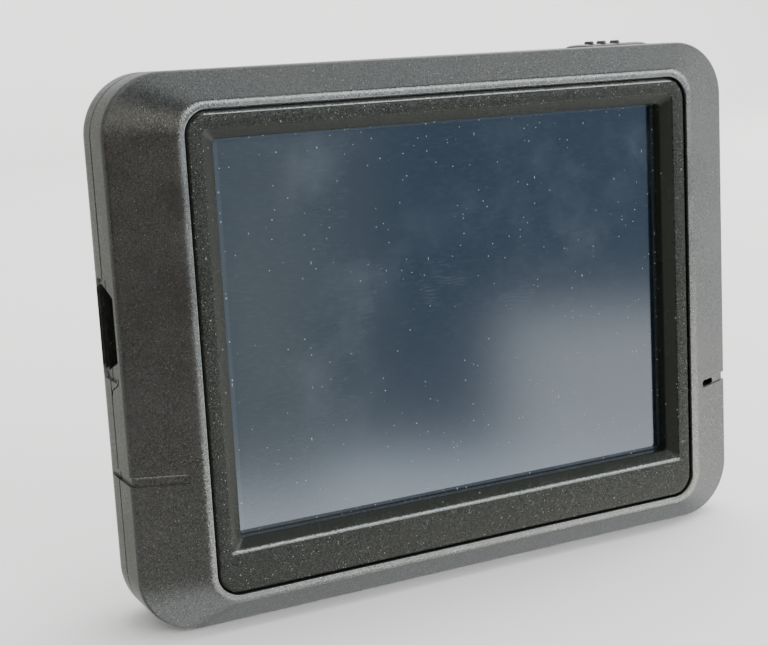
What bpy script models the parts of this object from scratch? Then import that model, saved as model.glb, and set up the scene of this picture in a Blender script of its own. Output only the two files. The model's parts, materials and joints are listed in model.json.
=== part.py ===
"""Portable GPS navigator with a 3.5 inch touch display, built as the assembly that comes apart on a bench.

Units      Every size below is in millimetres. MM turns it into Blender's metres where a mesh is made.
Frame      +X is the user's right, +Y runs from the display to the back, +Z is up.
           The origin is at the middle of the case's underside.
Depth      Places through the thickness are depths behind the front rim, so the case's Y runs from
           -THICKNESS / 2 (depth 0) to +THICKNESS / 2 (depth THICKNESS).
"""

import math
from collections import namedtuple

import bmesh
import bpy
from mathutils import Matrix, Vector

MM = 0.001
Block = namedtuple("Block", "x depth z")  # a (low, high) pair along each axis
Section = namedtuple("Section", "half bottom top radius depth")  # a rounded rectangle at one depth

# ---------------------------------------------------------------- the case
WIDTH = 98.0
HEIGHT = 74.3
THICKNESS = 20.3
CORNER_RADIUS = 8.2
WALL = 1.8
SEAM = 8.8  # where the front half shell ends
SEAM_GAP = 0.28
CORNER_STEPS = 8  # straight pieces that make a quarter turn of a case corner
HALF = WIDTH / 2

# Front face: a flat rim round the display, then a slope that is wide at the sides. "End" is top and bottom.
EDGE_DEPTH = 3.64  # where the slope would meet the side wall
RIM_INSET_SIDE = 8.6
RIM_INSET_END = 3.9
OPENING_INSET_SIDE = 9.65
OPENING_INSET_END = 4.95

# Back: the walls stay straight for a while, then curve in to a flat panel.
CURVE_START_SIDE = 11.2
CURVE_START_END = 14.6
CURVE_INSET_SIDE = 14.0
CURVE_INSET_END = 6.5
CURVE_STEPS = 9
BACK_INSIDE = THICKNESS - WALL

# Grooves round both sides. The right one has the microphone slot at its inner end.
GROOVE_LOW = 21.15
GROOVE_HIGH = 22.45
GROOVE_DEPTH = 0.3
GROOVE_INNER_X = 41.9
GROOVE_ROUNDING = 0.4
GROOVE_BACK = 13.6
MIC_X = 44.1
MIC_Z = 21.65
MIC_SLOT = (2.9, 0.9)

# Screws that hold the half shells together, driven from the back.
CASE_SCREW_X = 42.7
CASE_SCREW_ZS = (8.6, 65.7)
CASE_SCREW_SEAT = 15.4
CASE_SCREW_TIP = 5.4
BOSS_RADIUS = 2.0
POST_RADIUS = 2.5

# Slots for the windscreen cradle's foot and latch, and the rating plate's bed.
CRADLE_DEPTHS = (11.2, 13.8)
FOOT_HALF = 8.0
LATCH_HALF = 6.0
CRADLE_SLOT_REACH = 1.8
LABEL_HALF = 24.8
LABEL_Z = (9.6, 30.0)
LABEL_BED = 0.3

# ---------------------------------------------------------------- the display
SURROUND_HALF = 39.17
SURROUND_BOTTOM = 5.1
SURROUND_TOP = 69.2
SURROUND_DEPTH = 0.2
WINDOW_HALF = 35.3
WINDOW_BOTTOM = 12.25
WINDOW_TOP = 65.42
WINDOW_DEPTH = 2.5
BEVEL_SIDE = 1.75
BEVEL_END = 1.5
BEVEL_DEPTH = 1.2  # where the window's walls turn straight back
POCKET_HALF = 38.6  # the surround's skirt, which holds the sheets below
POCKET_BOTTOM = 6.4
POCKET_TOP = 68.9
POCKET_DEPTH = 6.6
SKIRT_WALL = 1.0
FLANGE_HALF = 40.4  # the lip behind the bezel's opening
FLANGE_BOTTOM = 3.85
FLANGE_TOP = 70.45
FLANGE_DEPTHS = (2.1, 3.0)
SHEET_GAP = 0.08


def stack(start, thicknesses):
    """Depth spans of sheets laid one behind another, with SHEET_GAP before each."""
    spans = []
    for thickness in thicknesses:
        spans.append((start + SHEET_GAP, start + SHEET_GAP + thickness))
        start = spans[-1][1]
    return spans


GASKET, TOUCH, LCD, TRAY, CHASSIS, BOARD = stack(WINDOW_DEPTH, (0.2, 1.1, 1.2, 1.8, 0.4, 0.8))
ON_BOARD = BOARD[1] + SHEET_GAP  # where parts on the rear of the board begin

# ---------------------------------------------------------------- inside
BOARD_HALF = 45.4
BOARD_Z = (4.6, 69.8)
BOARD_CORNER = (5.9, 8.6)  # how much each corner is cut away for the case screws
BOARD_SCREWS = ((-8.0, 66.5), (36.0, 60.2), (36.0, 10.2), (-36.6, 10.5))
SHEET = 0.25  # pressed sheet steel

PORT_Z = 41.5
PORT_HALF_Z = 6.6
PORT_HALF_DEPTH = 3.7
PORT_FLOOR_X = 44.7
PORT_BLOCK = Block((PORT_FLOOR_X - 0.8, HALF - 1.4), (4.0, 13.8), (PORT_Z - 8.6, PORT_Z + 8.6))
USB_LENGTH = 8.0
USB_DEPTHS = (7.2, 10.9)
USB_HALF_Z = 3.85
USB_CLEARANCE = 0.2

SLIDER_X = 31.54
SLIDER_SLOT = (16.4, 5.0)
SLIDER_CAP = (13.8, 4.4)
SLIDER_FLANGE_HALF = 9.6
SLIDER_DECK = HEIGHT + 0.4
RIDGE_XS = (28.4, 30.6, 33.05)
SWITCH_DEPTH = 10.0
SWITCH_Z = (64.6, 68.2)
LEVER_HALF = 0.8

CARD_Z = 41.15
CARD_HALF_Z = 12.2
CARD_FLOOR = ON_BOARD + 0.35
CARD_RIM = CARD_FLOOR + 2.3
CARD_STOP_X = 14.4
SOCKET_X = (10.3, 46.6)
SOCKET_Z = (CARD_Z - CARD_HALF_Z - 1.3, CARD_Z + CARD_HALF_Z + 3.9)
CHANNEL_Z = (CARD_Z + CARD_HALF_Z + 0.3, CARD_Z + CARD_HALF_Z + 2.7)  # where the eject slider runs
EJECT_ARM_X = (18.7, 20.9)
EJECT_SPRING_X = (12.1, 18.5)

ANTENNA_X = -26.0
ANTENNA_Z = 58.0
ANTENNA_HALF = 9.0
ANTENNA_DEPTHS = (11.0, 15.0)
ANTENNA_FEED_Z = ANTENNA_Z - 1.5
RADIO_HALF = 11.0
PROCESSOR_X = (-14.4, 9.6)
PROCESSOR_Z = (42.6, 62.6)
BATTERY = Block((-35.8, 9.8), (9.6, 15.6), (5.2, 38.6))
BATTERY_FOAM_INSET = (8.0, 6.5)
BATTERY_HEADER = Block((13.6, 17.8), (ON_BOARD, 11.0), (14.0, 19.6))

SPEAKER_X = 0.0
SPEAKER_Z = 54.5
SPEAKER_RADIUS = 14.0
SPEAKER_FRONT = 14.9  # the basket's side towards the display
SPEAKER_RIM = 17.55
SPEAKER_WELL_WALL = 1.0
GRILLE_RADIUS = 10.4
GRILLE_ROWS = 7
GRILLE_PITCH = 2.6
GRILLE_SLOT = 1.2
SPEAKER_HEADER = Block((16.6, 20.2), (ON_BOARD, 10.7), (60.6, 64.2))


# ---------------------------------------------------------------- scene and materials
def clear_scene():
    for obj in list(bpy.data.objects):
        bpy.data.objects.remove(obj, do_unlink=True)


def new_collection(name):
    collection = bpy.data.collections.new(name)
    bpy.context.scene.collection.children.link(collection)
    return collection


def make_material(name, colour, roughness, metallic=0.0):
    material = bpy.data.materials.new(name)
    material.use_nodes = True
    shader = material.node_tree.nodes["Principled BSDF"]
    shader.inputs["Base Color"].default_value = (*colour, 1.0)
    shader.inputs["Roughness"].default_value = roughness
    shader.inputs["Metallic"].default_value = metallic
    material.diffuse_color = (*colour, 1.0)
    return material


clear_scene()
PARTS = new_collection("portable_gps_navigator")
CUTTERS = new_collection("cutters")

CASE_GREY = make_material("case_grey", (0.13, 0.135, 0.135), 0.42, 0.35)
SURROUND_BLACK = make_material("surround_black", (0.035, 0.037, 0.036), 0.45, 0.2)
SCREEN = make_material("screen", (0.045, 0.06, 0.09), 0.22)
FOAM = make_material("foam", (0.02, 0.02, 0.02), 0.95)
LCD_GLASS = make_material("lcd_glass", (0.05, 0.06, 0.07), 0.15)
WHITE_PLASTIC = make_material("white_plastic", (0.8, 0.8, 0.78), 0.5)
POLYIMIDE = make_material("polyimide", (0.55, 0.27, 0.06), 0.4)
SHEET_STEEL = make_material("sheet_steel", (0.6, 0.6, 0.58), 0.35, 1.0)
SOLDER_MASK = make_material("solder_mask", (0.02, 0.16, 0.07), 0.4)
BLACK_PLASTIC = make_material("black_plastic", (0.02, 0.02, 0.022), 0.5)
CERAMIC = make_material("ceramic", (0.72, 0.68, 0.58), 0.6)
BATTERY_WRAP = make_material("battery_wrap", (0.1, 0.16, 0.3), 0.45)
MAGNET = make_material("magnet", (0.32, 0.32, 0.33), 0.3, 1.0)
CONE = make_material("cone", (0.06, 0.06, 0.06), 0.7)
RUBBER = make_material("rubber", (0.03, 0.03, 0.03), 0.85)
LABEL = make_material("label", (0.5, 0.5, 0.5), 0.55, 0.3)
SCREW_STEEL = make_material("screw_steel", (0.07, 0.07, 0.075), 0.35, 1.0)
RED_WIRE = make_material("red_wire", (0.55, 0.03, 0.02), 0.5)
BLACK_WIRE = make_material("black_wire", (0.02, 0.02, 0.02), 0.5)


# ---------------------------------------------------------------- modelling helpers
def around(centre, half):
    return (centre - half, centre + half)


def point(x, depth, z):
    """A place given in millimetres and depth, in metres in Blender's axes."""
    return Vector((x * MM, (depth - THICKNESS / 2) * MM, z * MM))


def add_object(name, mesh, material=None):
    """Links a mesh as a part, or as a cutter if it has no material."""
    obj = bpy.data.objects.new(name, mesh)
    if material is None:
        CUTTERS.objects.link(obj)
        obj.hide_render = True
        obj.display_type = "WIRE"
    else:
        PARTS.objects.link(obj)
        mesh.materials.append(material)
    return obj


def finish_mesh(name, bm, material=None, smooth=False):
    bmesh.ops.recalc_face_normals(bm, faces=bm.faces)
    mesh = bpy.data.meshes.new(name)
    bm.to_mesh(mesh)
    bm.free()
    if smooth:
        mesh.shade_smooth()
        mesh.set_sharp_from_angle(angle=math.radians(35))
    return add_object(name, mesh, material)


def boolean(obj, other, operation):
    modifier = obj.modifiers.new(other.name, "BOOLEAN")
    modifier.operation = operation
    modifier.object = other
    modifier.solver = "EXACT"


def cut(obj, *cutters):
    for cutter in cutters:
        boolean(obj, cutter, "DIFFERENCE")


def join(obj, *others):
    for other in others:
        boolean(obj, other, "UNION")


def runs_along(edge, axis):
    direction = edge.verts[1].co - edge.verts[0].co
    return abs(direction[axis]) > 0.99 * direction.length


def box(name, block, material=None, rounding=0.0, axis=None):
    """A box over a Block. axis 0, 1 or 2 rounds only the edges that run along X, Y or Z."""
    low, high = (point(*corner) for corner in zip(*block))
    bm = bmesh.new()
    bmesh.ops.create_cube(bm, size=1.0)
    bmesh.ops.scale(bm, vec=high - low, verts=bm.verts)
    if rounding:
        edges = [edge for edge in bm.edges if axis is None or runs_along(edge, axis)]
        bmesh.ops.bevel(bm, geom=edges, offset=rounding * MM, segments=2, profile=0.5, affect="EDGES")
    obj = finish_mesh(name, bm, material)
    obj.location = (low + high) / 2
    return obj


def cylinder(name, x, z, radius, depths, material=None, steps=12):
    """A cylinder whose axis runs through the thickness."""
    bm = bmesh.new()
    bmesh.ops.create_cone(
        bm,
        cap_ends=True,
        segments=steps,
        radius1=radius * MM,
        radius2=radius * MM,
        depth=(depths[1] - depths[0]) * MM,
    )
    obj = finish_mesh(name, bm, material, smooth=True)
    obj.rotation_euler = (math.radians(90), 0.0, 0.0)
    obj.location = point(x, sum(depths) / 2, z)
    return obj


def slot(name, size, centre, thickness, through_top=False, material=None, steps=4):
    """A bar with round ends that runs through the case's thickness, or straight down through its top."""
    radius = size[1] / 2
    reach = size[0] / 2 - radius
    bm = bmesh.new()
    corners = []
    for side, start in ((1, -90), (-1, 90)):
        for step in range(steps + 1):
            angle = math.radians(start + 180 * step / steps)
            x = side * reach + radius * math.cos(angle)
            corners.append(bm.verts.new((x * MM, radius * math.sin(angle) * MM, -thickness / 2 * MM)))
    moved = bmesh.ops.extrude_face_region(bm, geom=[bm.faces.new(corners)])["geom"]
    top = [vert for vert in moved if isinstance(vert, bmesh.types.BMVert)]
    bmesh.ops.translate(bm, vec=(0.0, 0.0, thickness * MM), verts=top)
    obj = finish_mesh(name, bm, material)
    if not through_top:
        obj.rotation_euler = (math.radians(90), 0.0, 0.0)
    obj.location = point(*centre)
    return obj


def loft(name, rings, material=None, closed=False, smooth=True):
    """Skins rings of equal length. closed joins the last ring to the first, as in a frame."""
    bm = bmesh.new()
    rows = [[bm.verts.new(place) for place in ring] for ring in rings]
    pairs = list(zip(rows, rows[1:]))
    if closed:
        pairs.append((rows[-1], rows[0]))
    else:
        bm.faces.new(rows[0])
        bm.faces.new(reversed(rows[-1]))
    for first, second in pairs:
        for i in range(len(first)):
            bm.faces.new((first[i - 1], first[i], second[i], second[i - 1]))
    return finish_mesh(name, bm, material, smooth)


def section_ring(section, steps=CORNER_STEPS):
    """A Section's points, counter-clockwise from the middle of its right side's upper corner."""
    half, bottom, top, radius, depth = section
    high, low = top - radius, bottom + radius
    ring = []
    for side, centre_z, start in ((1, high, 0), (-1, high, 90), (-1, low, 180), (1, low, 270)):
        for step in range(steps + 1):
            angle = math.radians(start + 90 * step / steps)
            x = side * (half - radius) + radius * math.cos(angle)
            ring.append(point(x, depth, centre_z + radius * math.sin(angle)))
    return ring


def turned(name, x, z, profile, material=None, steps=32):
    """A piece turned about an axis through the thickness. The profile is (radius, depth) points."""
    following = [*profile[1:], profile[0]]
    if sum(a[0] * b[1] - b[0] * a[1] for a, b in zip(profile, following)) < 0:
        profile = profile[::-1]
    bm = bmesh.new()
    corners = [bm.verts.new((radius * MM, 0.0, -depth * MM)) for radius, depth in profile]
    for first, second in zip(corners, corners[1:]):
        bm.edges.new((first, second))
    if profile[0][0] > 0:
        bm.edges.new((corners[-1], corners[0]))
    mesh = bpy.data.meshes.new(name)
    bm.to_mesh(mesh)
    bm.free()
    obj = add_object(name, mesh, material)
    screw = obj.modifiers.new("turn", "SCREW")
    screw.axis = "Z"
    screw.steps = steps
    screw.render_steps = steps
    screw.use_merge_vertices = True
    screw.merge_threshold = 0.00001
    obj.rotation_euler = (math.radians(90), 0.0, 0.0)  # the lathe's -Z becomes +Y
    obj.location = point(x, 0.0, z)
    return obj


def tube(name, route, radius, material, resolution=2):
    """A wire or spring along a route of points, as a poly curve with a bevel."""
    curve = bpy.data.curves.new(name, "CURVE")
    curve.dimensions = "3D"
    curve.bevel_depth = radius * MM
    curve.bevel_resolution = resolution
    curve.use_fill_caps = True
    spline = curve.splines.new("POLY")
    spline.points.add(len(route) - 1)
    for target, place in zip(spline.points, route):
        target.co = (*place, 1.0)
    curve.materials.append(material)
    PARTS.objects.link(bpy.data.objects.new(name, curve))


def smooth_route(places, per_span=4):
    """Points along a Catmull-Rom curve through the given (x, depth, z) places."""
    knots = [point(*place) for place in places]
    knots = [knots[0] * 2 - knots[1], *knots, knots[-1] * 2 - knots[-2]]
    route = []
    for a, b, c, d in zip(knots, knots[1:], knots[2:], knots[3:]):
        for step in range(per_span):
            t = step / per_span
            bend = (a * 2 - b * 5 + c * 4 - d) * t**2 + (b * 3 - a - c * 3 + d) * t**3
            route.append(b + (c - a) * t / 2 + bend / 2)
    return [*route, knots[-2]]


def strip(name, route, xs, thickness, material):
    """A flat flexible cable, xs wide, that follows (depth, z) points."""
    bm = bmesh.new()
    rows = [[bm.verts.new(point(x, depth, z)) for x in xs] for depth, z in route]
    for first, second in zip(rows, rows[1:]):
        bm.faces.new((first[0], first[1], second[1], second[0]))
    solidify = finish_mesh(name, bm, material).modifiers.new("thickness", "SOLIDIFY")
    solidify.thickness = thickness * MM
    solidify.offset = 0.0


def bend(centre, radius, start, end, steps=4):
    """Points (depth, z) on an arc, with angles in degrees from +depth towards +Z."""
    points = []
    for step in range(steps + 1):
        angle = math.radians(start + (end - start) * step / steps)
        points.append((centre[0] + radius * math.cos(angle), centre[1] + radius * math.sin(angle)))
    return points


# ---------------------------------------------------------------- case shells
def case_section(side, end, radius, depth):
    """A case outline that is inset by side at left and right and by end at top and bottom."""
    return Section(HALF - side, end, HEIGHT - end, radius, depth)


def case_corners():
    """The name and (x, z) of each case screw."""
    for side, side_name in ((-1, "left"), (1, "right")):
        for z, level_name in zip(CASE_SCREW_ZS, ("low", "high")):
            yield f"{side_name}_{level_name}", side * CASE_SCREW_X, z


def slope_depth(x):
    """Depth of the front face's slope at x."""
    return EDGE_DEPTH * (x - (HALF - RIM_INSET_SIDE)) / RIM_INSET_SIDE


def groove_cutter(name, side):
    """A bar that leaves a groove with a rounded inner end. side is -1 or 1."""
    proud = 1.0
    deep = GROOVE_DEPTH
    rings = []
    levels = (GROOVE_LOW, GROOVE_LOW + GROOVE_ROUNDING, GROOVE_HIGH - GROOVE_ROUNDING, GROOVE_HIGH)
    for z in levels:
        start_x = GROOVE_INNER_X + (GROOVE_ROUNDING if z in (GROOVE_LOW, GROOVE_HIGH) else 0.0)
        corners = (
            (start_x, slope_depth(start_x) + deep),
            (HALF - deep * 0.8, EDGE_DEPTH + deep),
            (HALF - deep, EDGE_DEPTH + 2 * deep),
            (HALF - deep, GROOVE_BACK),
            (HALF + proud, GROOVE_BACK),
            (HALF + proud, EDGE_DEPTH - proud),
            (start_x, slope_depth(start_x) - proud),
        )
        rings.append([point(side * x, depth, z) for x, depth in corners])
    return loft(name, rings, smooth=False)


def port_cutter():
    """The USB port's funnel: an eight-sided opening with one step, which narrows towards its floor."""
    chamfer_z = 1.3
    chamfer_depth = 1.2
    step_x = HALF - 0.8
    rings = []
    for x, shrink in ((HALF + 1.0, -0.15), (step_x, 0.05), (step_x, 0.4), (PORT_FLOOR_X, 1.0)):
        half_z = PORT_HALF_Z - shrink
        half_depth = PORT_HALF_DEPTH - shrink * 0.6
        quarter = ((half_depth, half_z - chamfer_z), (half_depth - chamfer_depth, half_z))
        outline = [(depth, z) for depth, z in quarter]
        outline += [(-depth, z) for depth, z in reversed(quarter)]
        outline += [(-depth, -z) for depth, z in quarter]
        outline += [(depth, -z) for depth, z in reversed(quarter)]
        rings.append([point(-x, SEAM + depth, PORT_Z + z) for depth, z in outline])
    return loft("cut_usb_port", rings, smooth=False)


def shared_cutters():
    """Cutters that pass through both half shells."""
    usb_low = PORT_Z - USB_HALF_Z - USB_CLEARANCE
    usb_high = PORT_Z + USB_HALF_Z + USB_CLEARANCE
    usb_depths = (USB_DEPTHS[0] - USB_CLEARANCE, USB_DEPTHS[1] + USB_CLEARANCE)
    usb_xs = (-PORT_FLOOR_X - 1.0, -PORT_FLOOR_X + 2.0)
    return (
        port_cutter(),
        box("cut_usb_socket", Block(usb_xs, usb_depths, (usb_low, usb_high))),
        groove_cutter("cut_groove_left", -1),
        groove_cutter("cut_groove_right", 1),
        slot("cut_slider_slot", SLIDER_SLOT, (SLIDER_X, SEAM, HEIGHT), 6.0, through_top=True, steps=10),
    )


def port_block(name, depths):
    """The part of the wall round the USB port that belongs to one half shell."""
    xs = (-PORT_BLOCK.x[1], -PORT_BLOCK.x[0])
    return box(name, Block(xs, depths, PORT_BLOCK.z))


def front_bezel(both_shells):
    sections = (
        case_section(OPENING_INSET_SIDE, OPENING_INSET_END, 3.3, 0.25),
        case_section(OPENING_INSET_SIDE - 0.25, OPENING_INSET_END - 0.2, 3.5, 0.0),
        case_section(RIM_INSET_SIDE + 0.1, RIM_INSET_END + 0.1, 4.2, 0.0),
        case_section(RIM_INSET_SIDE - 0.25, RIM_INSET_END - 0.15, 4.45, 0.12),
        case_section(0.69, 0.31, CORNER_RADIUS - 0.3, 3.35),
        case_section(0.12, 0.08, CORNER_RADIUS - 0.08, 3.8),
        case_section(0.0, 0.0, CORNER_RADIUS, 4.4),
        case_section(0.0, 0.0, CORNER_RADIUS, SEAM),
        case_section(WALL, WALL, CORNER_RADIUS - WALL, SEAM),
        case_section(WALL, WALL, CORNER_RADIUS - WALL, 5.3),
        case_section(7.7, 3.4, 4.8, 1.95),
        case_section(OPENING_INSET_SIDE, OPENING_INSET_END, 3.3, 1.75),
    )
    shell = loft("front_bezel", [section_ring(section) for section in sections], CASE_GREY, closed=True)
    join(shell, port_block("join_port_block_front", (PORT_BLOCK.depth[0], SEAM - 0.1)))
    for name, x, z in case_corners():
        join(shell, cylinder(f"join_boss_{name}", x, z, BOSS_RADIUS, (2.6, SEAM - 0.2)))
        cut(shell, cylinder(f"cut_pilot_{name}", x, z, 0.68, (CASE_SCREW_TIP - 0.8, SEAM + 1.0)))
    cut(shell, slot("cut_mic_slot", MIC_SLOT, (MIC_X, 2.0, MIC_Z), 6.0), *both_shells)


def back_inset(depth, inward):
    """How far (at the sides, at top and bottom) the back has curved in. inward is the wall's thickness."""

    def arc(start, reach):
        share = (depth - start) / (THICKNESS - inward - start)
        share = min(max(share, 0.0), 1.0)
        return reach - (reach - inward) * math.sqrt(1 - share**2)

    return arc(CURVE_START_SIDE, CURVE_INSET_SIDE), arc(CURVE_START_END, CURVE_INSET_END)


def back_rings(inward):
    """Rings of the rear shell's outer surface, or of its inner one, from the seam to the back."""
    run = THICKNESS - inward - CURVE_START_SIDE
    depths = [SEAM + SEAM_GAP]
    for step in range(CURVE_STEPS + 1):
        depths.append(CURVE_START_SIDE + run * math.sin(math.radians(90 * step / CURVE_STEPS)))
    rings = []
    for depth in depths:
        side, end = back_inset(depth, inward)
        rings.append(section_ring(case_section(side, end, CORNER_RADIUS - inward, depth)))
    return rings


def rear_housing(both_shells):
    rings = back_rings(0.0)[::-1] + back_rings(WALL)
    shell = loft("rear_housing", rings, CASE_GREY)
    add_rear_ribs(shell)
    for name, x, z in case_corners():
        join(shell, cylinder(f"join_post_{name}", x, z, POST_RADIUS, (SEAM + SEAM_GAP, 17.2), steps=16))
        cut(shell, cylinder(f"cut_head_{name}", x, z, 1.9, (CASE_SCREW_SEAT, THICKNESS), steps=16))
        cut(shell, cylinder(f"cut_shank_{name}", x, z, 0.95, (SEAM - 1.0, CASE_SCREW_SEAT + 1.0)))
    cut_rear_openings(shell)
    cut(shell, *both_shells)


def add_rear_ribs(shell):
    """Ribs and thicker places inside the rear shell."""
    rib = 1.2
    rooted = BACK_INSIDE + 0.4
    left_rib = (BATTERY.x[0] - 0.4 - rib, BATTERY.x[0] - 0.4)
    right_rib = (BATTERY.x[1] + 0.4, BATTERY.x[1] + 0.4 + rib)
    rib_depths = (12.5, rooted)
    block_depths = (CRADLE_DEPTHS[0] - 1.4, CRADLE_DEPTHS[1] + 1.4)
    foot_z = (1.0, CRADLE_SLOT_REACH + 2.0)
    latch_z = (HEIGHT - CRADLE_SLOT_REACH - 2.0, HEIGHT - 1.0)
    join(
        shell,
        port_block("join_port_block_rear", (SEAM + SEAM_GAP + 0.1, PORT_BLOCK.depth[1])),
        box("join_foot_block", Block(around(0.0, FOOT_HALF + 1.5), block_depths, foot_z)),
        box("join_latch_block", Block(around(0.0, LATCH_HALF + 1.5), block_depths, latch_z)),
        box("join_battery_rib_left", Block(left_rib, rib_depths, (10.0, 34.0))),
        box("join_battery_rib_right", Block(right_rib, rib_depths, (8.0, 21.0))),
    )
    inner = SPEAKER_RADIUS + 0.25
    outer = inner + SPEAKER_WELL_WALL
    well = [(inner, 15.6), (outer, 15.6), (outer, rooted), (inner, rooted)]
    join(shell, turned("join_speaker_well", SPEAKER_X, SPEAKER_Z, well))


def cut_rear_openings(shell):
    card_slot = Block((HALF - 3.0, HALF + 1.0), (SEAM, CARD_RIM + 0.2), around(CARD_Z, CARD_HALF_Z + 0.2))
    foot_slot = Block((-FOOT_HALF, FOOT_HALF), CRADLE_DEPTHS, (-1.0, CRADLE_SLOT_REACH))
    latch_slot = Block((-LATCH_HALF, LATCH_HALF), CRADLE_DEPTHS, (HEIGHT - CRADLE_SLOT_REACH, HEIGHT + 1.0))
    bed_edge = 0.2
    label_bed = Block(
        (-LABEL_HALF - bed_edge, LABEL_HALF + bed_edge),
        (THICKNESS - LABEL_BED, THICKNESS + 1.0),
        (LABEL_Z[0] - bed_edge, LABEL_Z[1] + bed_edge),
    )
    cut(
        shell,
        box("cut_card_slot", card_slot),
        finger_scoop(),
        box("cut_foot_slot", foot_slot),
        box("cut_latch_slot", latch_slot),
        box("cut_label_bed", label_bed, rounding=1.0, axis=1),
    )
    for row in range(GRILLE_ROWS):
        rise = (row - (GRILLE_ROWS - 1) / 2) * GRILLE_PITCH
        size = (2 * math.sqrt(GRILLE_RADIUS**2 - rise**2), GRILLE_SLOT)
        cut(shell, slot(f"cut_grille_{row + 1}", size, (SPEAKER_X, THICKNESS, SPEAKER_Z + rise), 6.0))


def finger_scoop():
    """A shallow dish beside the card slot, so that a fingertip can press the card home."""
    radius = 9.0
    bite = 1.1
    proportions = (1.0, 0.5, 1.3)
    bm = bmesh.new()
    bmesh.ops.create_uvsphere(bm, u_segments=24, v_segments=12, radius=radius * MM)
    bmesh.ops.scale(bm, vec=proportions, verts=bm.verts)
    obj = finish_mesh("cut_finger_scoop", bm)
    obj.location = point(HALF + radius - bite, CARD_RIM + 0.9, CARD_Z)
    return obj


def case_screws():
    """Four self-tapping screws from the back, with a socket in each head."""
    head, shank = 1.6, 0.6
    seat = CASE_SCREW_SEAT + SHEET_GAP
    top = seat + 1.2
    profile = [
        (0.0, top - 0.6),
        (0.55, top - 0.6),
        (0.55, top),
        (head - 0.3, top),
        (head, top - 0.35),
        (head, seat),
        (shank, seat),
        (shank, CASE_SCREW_TIP + 0.8),
        (0.0, CASE_SCREW_TIP),
    ]
    for name, x, z in case_corners():
        turned(f"case_screw_{name}", x, z, profile, SCREW_STEEL, 12)


def rear_label():
    depths = (THICKNESS - LABEL_BED + 0.06, THICKNESS - 0.06)
    box("rear_label", Block((-LABEL_HALF, LABEL_HALF), depths, LABEL_Z), LABEL, rounding=0.9, axis=1)


# ---------------------------------------------------------------- display stack
def display_surround():
    def window(half, bottom, top, radius, depth, grow=0.0):
        return Section(half + grow, bottom - grow, top + grow, radius, depth)

    outer = (SURROUND_HALF, SURROUND_BOTTOM, SURROUND_TOP)
    opening = (WINDOW_HALF, WINDOW_BOTTOM, WINDOW_TOP)
    face = (SURROUND_HALF - 0.2, SURROUND_BOTTOM + 0.15, SURROUND_TOP - 0.45)
    bevel = (WINDOW_HALF + BEVEL_SIDE, WINDOW_BOTTOM - BEVEL_END, WINDOW_TOP + BEVEL_END)
    pocket = (POCKET_HALF, POCKET_BOTTOM, POCKET_TOP)
    flange = (FLANGE_HALF, FLANGE_BOTTOM, FLANGE_TOP)
    sections = (
        window(*outer, 3.1, SURROUND_DEPTH + 0.3),
        window(*face, 2.9, SURROUND_DEPTH),
        window(*bevel, 1.0, SURROUND_DEPTH),
        window(*opening, 0.5, BEVEL_DEPTH),
        window(*opening, 0.5, WINDOW_DEPTH),
        window(*pocket, 0.9, WINDOW_DEPTH),
        window(*pocket, 0.9, POCKET_DEPTH),
        window(*pocket, 1.9, POCKET_DEPTH, grow=SKIRT_WALL),
        window(*pocket, 1.9, FLANGE_DEPTHS[1], grow=SKIRT_WALL),
        window(*flange, 3.4, FLANGE_DEPTHS[1]),
        window(*flange, 3.4, FLANGE_DEPTHS[0]),
        window(*outer, 3.1, FLANGE_DEPTHS[0]),
    )
    rings = [section_ring(section, steps=6) for section in sections]
    frame = loft("display_surround", rings, SURROUND_BLACK, closed=True)
    gate_z = (POCKET_BOTTOM - SKIRT_WALL - 1.0, POCKET_BOTTOM + 0.5)
    gate = Block((18.0, 38.2), (3.15, POCKET_DEPTH + 1.0), gate_z)
    cut(frame, box("cut_cable_gate", gate))


def framed(name, outer, inner, material, rounding):
    """A sheet with one rectangular opening."""
    sheet = box(name, outer, material, rounding=rounding, axis=1)
    cut(sheet, box(f"cut_{name}", inner, rounding=rounding, axis=1))


def display_sheets():
    sheet_half = POCKET_HALF - 0.4
    sheet_z = (POCKET_BOTTOM + 0.4, POCKET_TOP - 0.4)
    margin = 0.45
    gasket_hole = Block(
        (-WINDOW_HALF - margin, WINDOW_HALF + margin),
        (GASKET[0] - 1.0, GASKET[1] + 1.0),
        (WINDOW_BOTTOM - margin, WINDOW_TOP + margin),
    )
    framed("touch_gasket", Block((-sheet_half, sheet_half), GASKET, sheet_z), gasket_hole, FOAM, 0.6)
    box("touch_panel", Block((-sheet_half, sheet_half), TOUCH, sheet_z), SCREEN, rounding=0.8, axis=1)
    lcd_z = (sheet_z[0] + 0.8, sheet_z[1] - 0.5)
    box("lcd_panel", Block((0.6 - sheet_half, sheet_half - 0.6), LCD, lcd_z), LCD_GLASS)
    well = Block((-36.4, 36.4), (TRAY[0] - 1.0, TRAY[0] + 0.5), (9.2, 66.4))
    tray_block = Block((-sheet_half, sheet_half), TRAY, sheet_z)
    tray = box("backlight_tray", tray_block, WHITE_PLASTIC, rounding=0.8, axis=1)
    cut(tray, box("cut_light_well", well))


def chassis_plate():
    """The steel plate between the display and the board, lightened by two windows."""
    outline = Block((-38.8, 38.8), CHASSIS, (6.2, 69.2))
    plate = box("chassis_plate", outline, SHEET_STEEL, rounding=1.5, axis=1)
    through = (CHASSIS[0] - 1.0, CHASSIS[1] + 1.0)
    for number, xs in enumerate(((-30.0, -6.0), (2.0, 26.0)), 1):
        window = Block(xs, through, (20.0, 40.0))
        cut(plate, box(f"cut_chassis_window_{number}", window, rounding=3.0, axis=1))
    for number, (x, z) in enumerate(BOARD_SCREWS, 1):
        cut(plate, cylinder(f"cut_chassis_screw_{number}", x, z, 0.75, through, steps=8))
    cut(plate, box("cut_chassis_usb", usb_notch(through, 0.35)))


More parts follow.
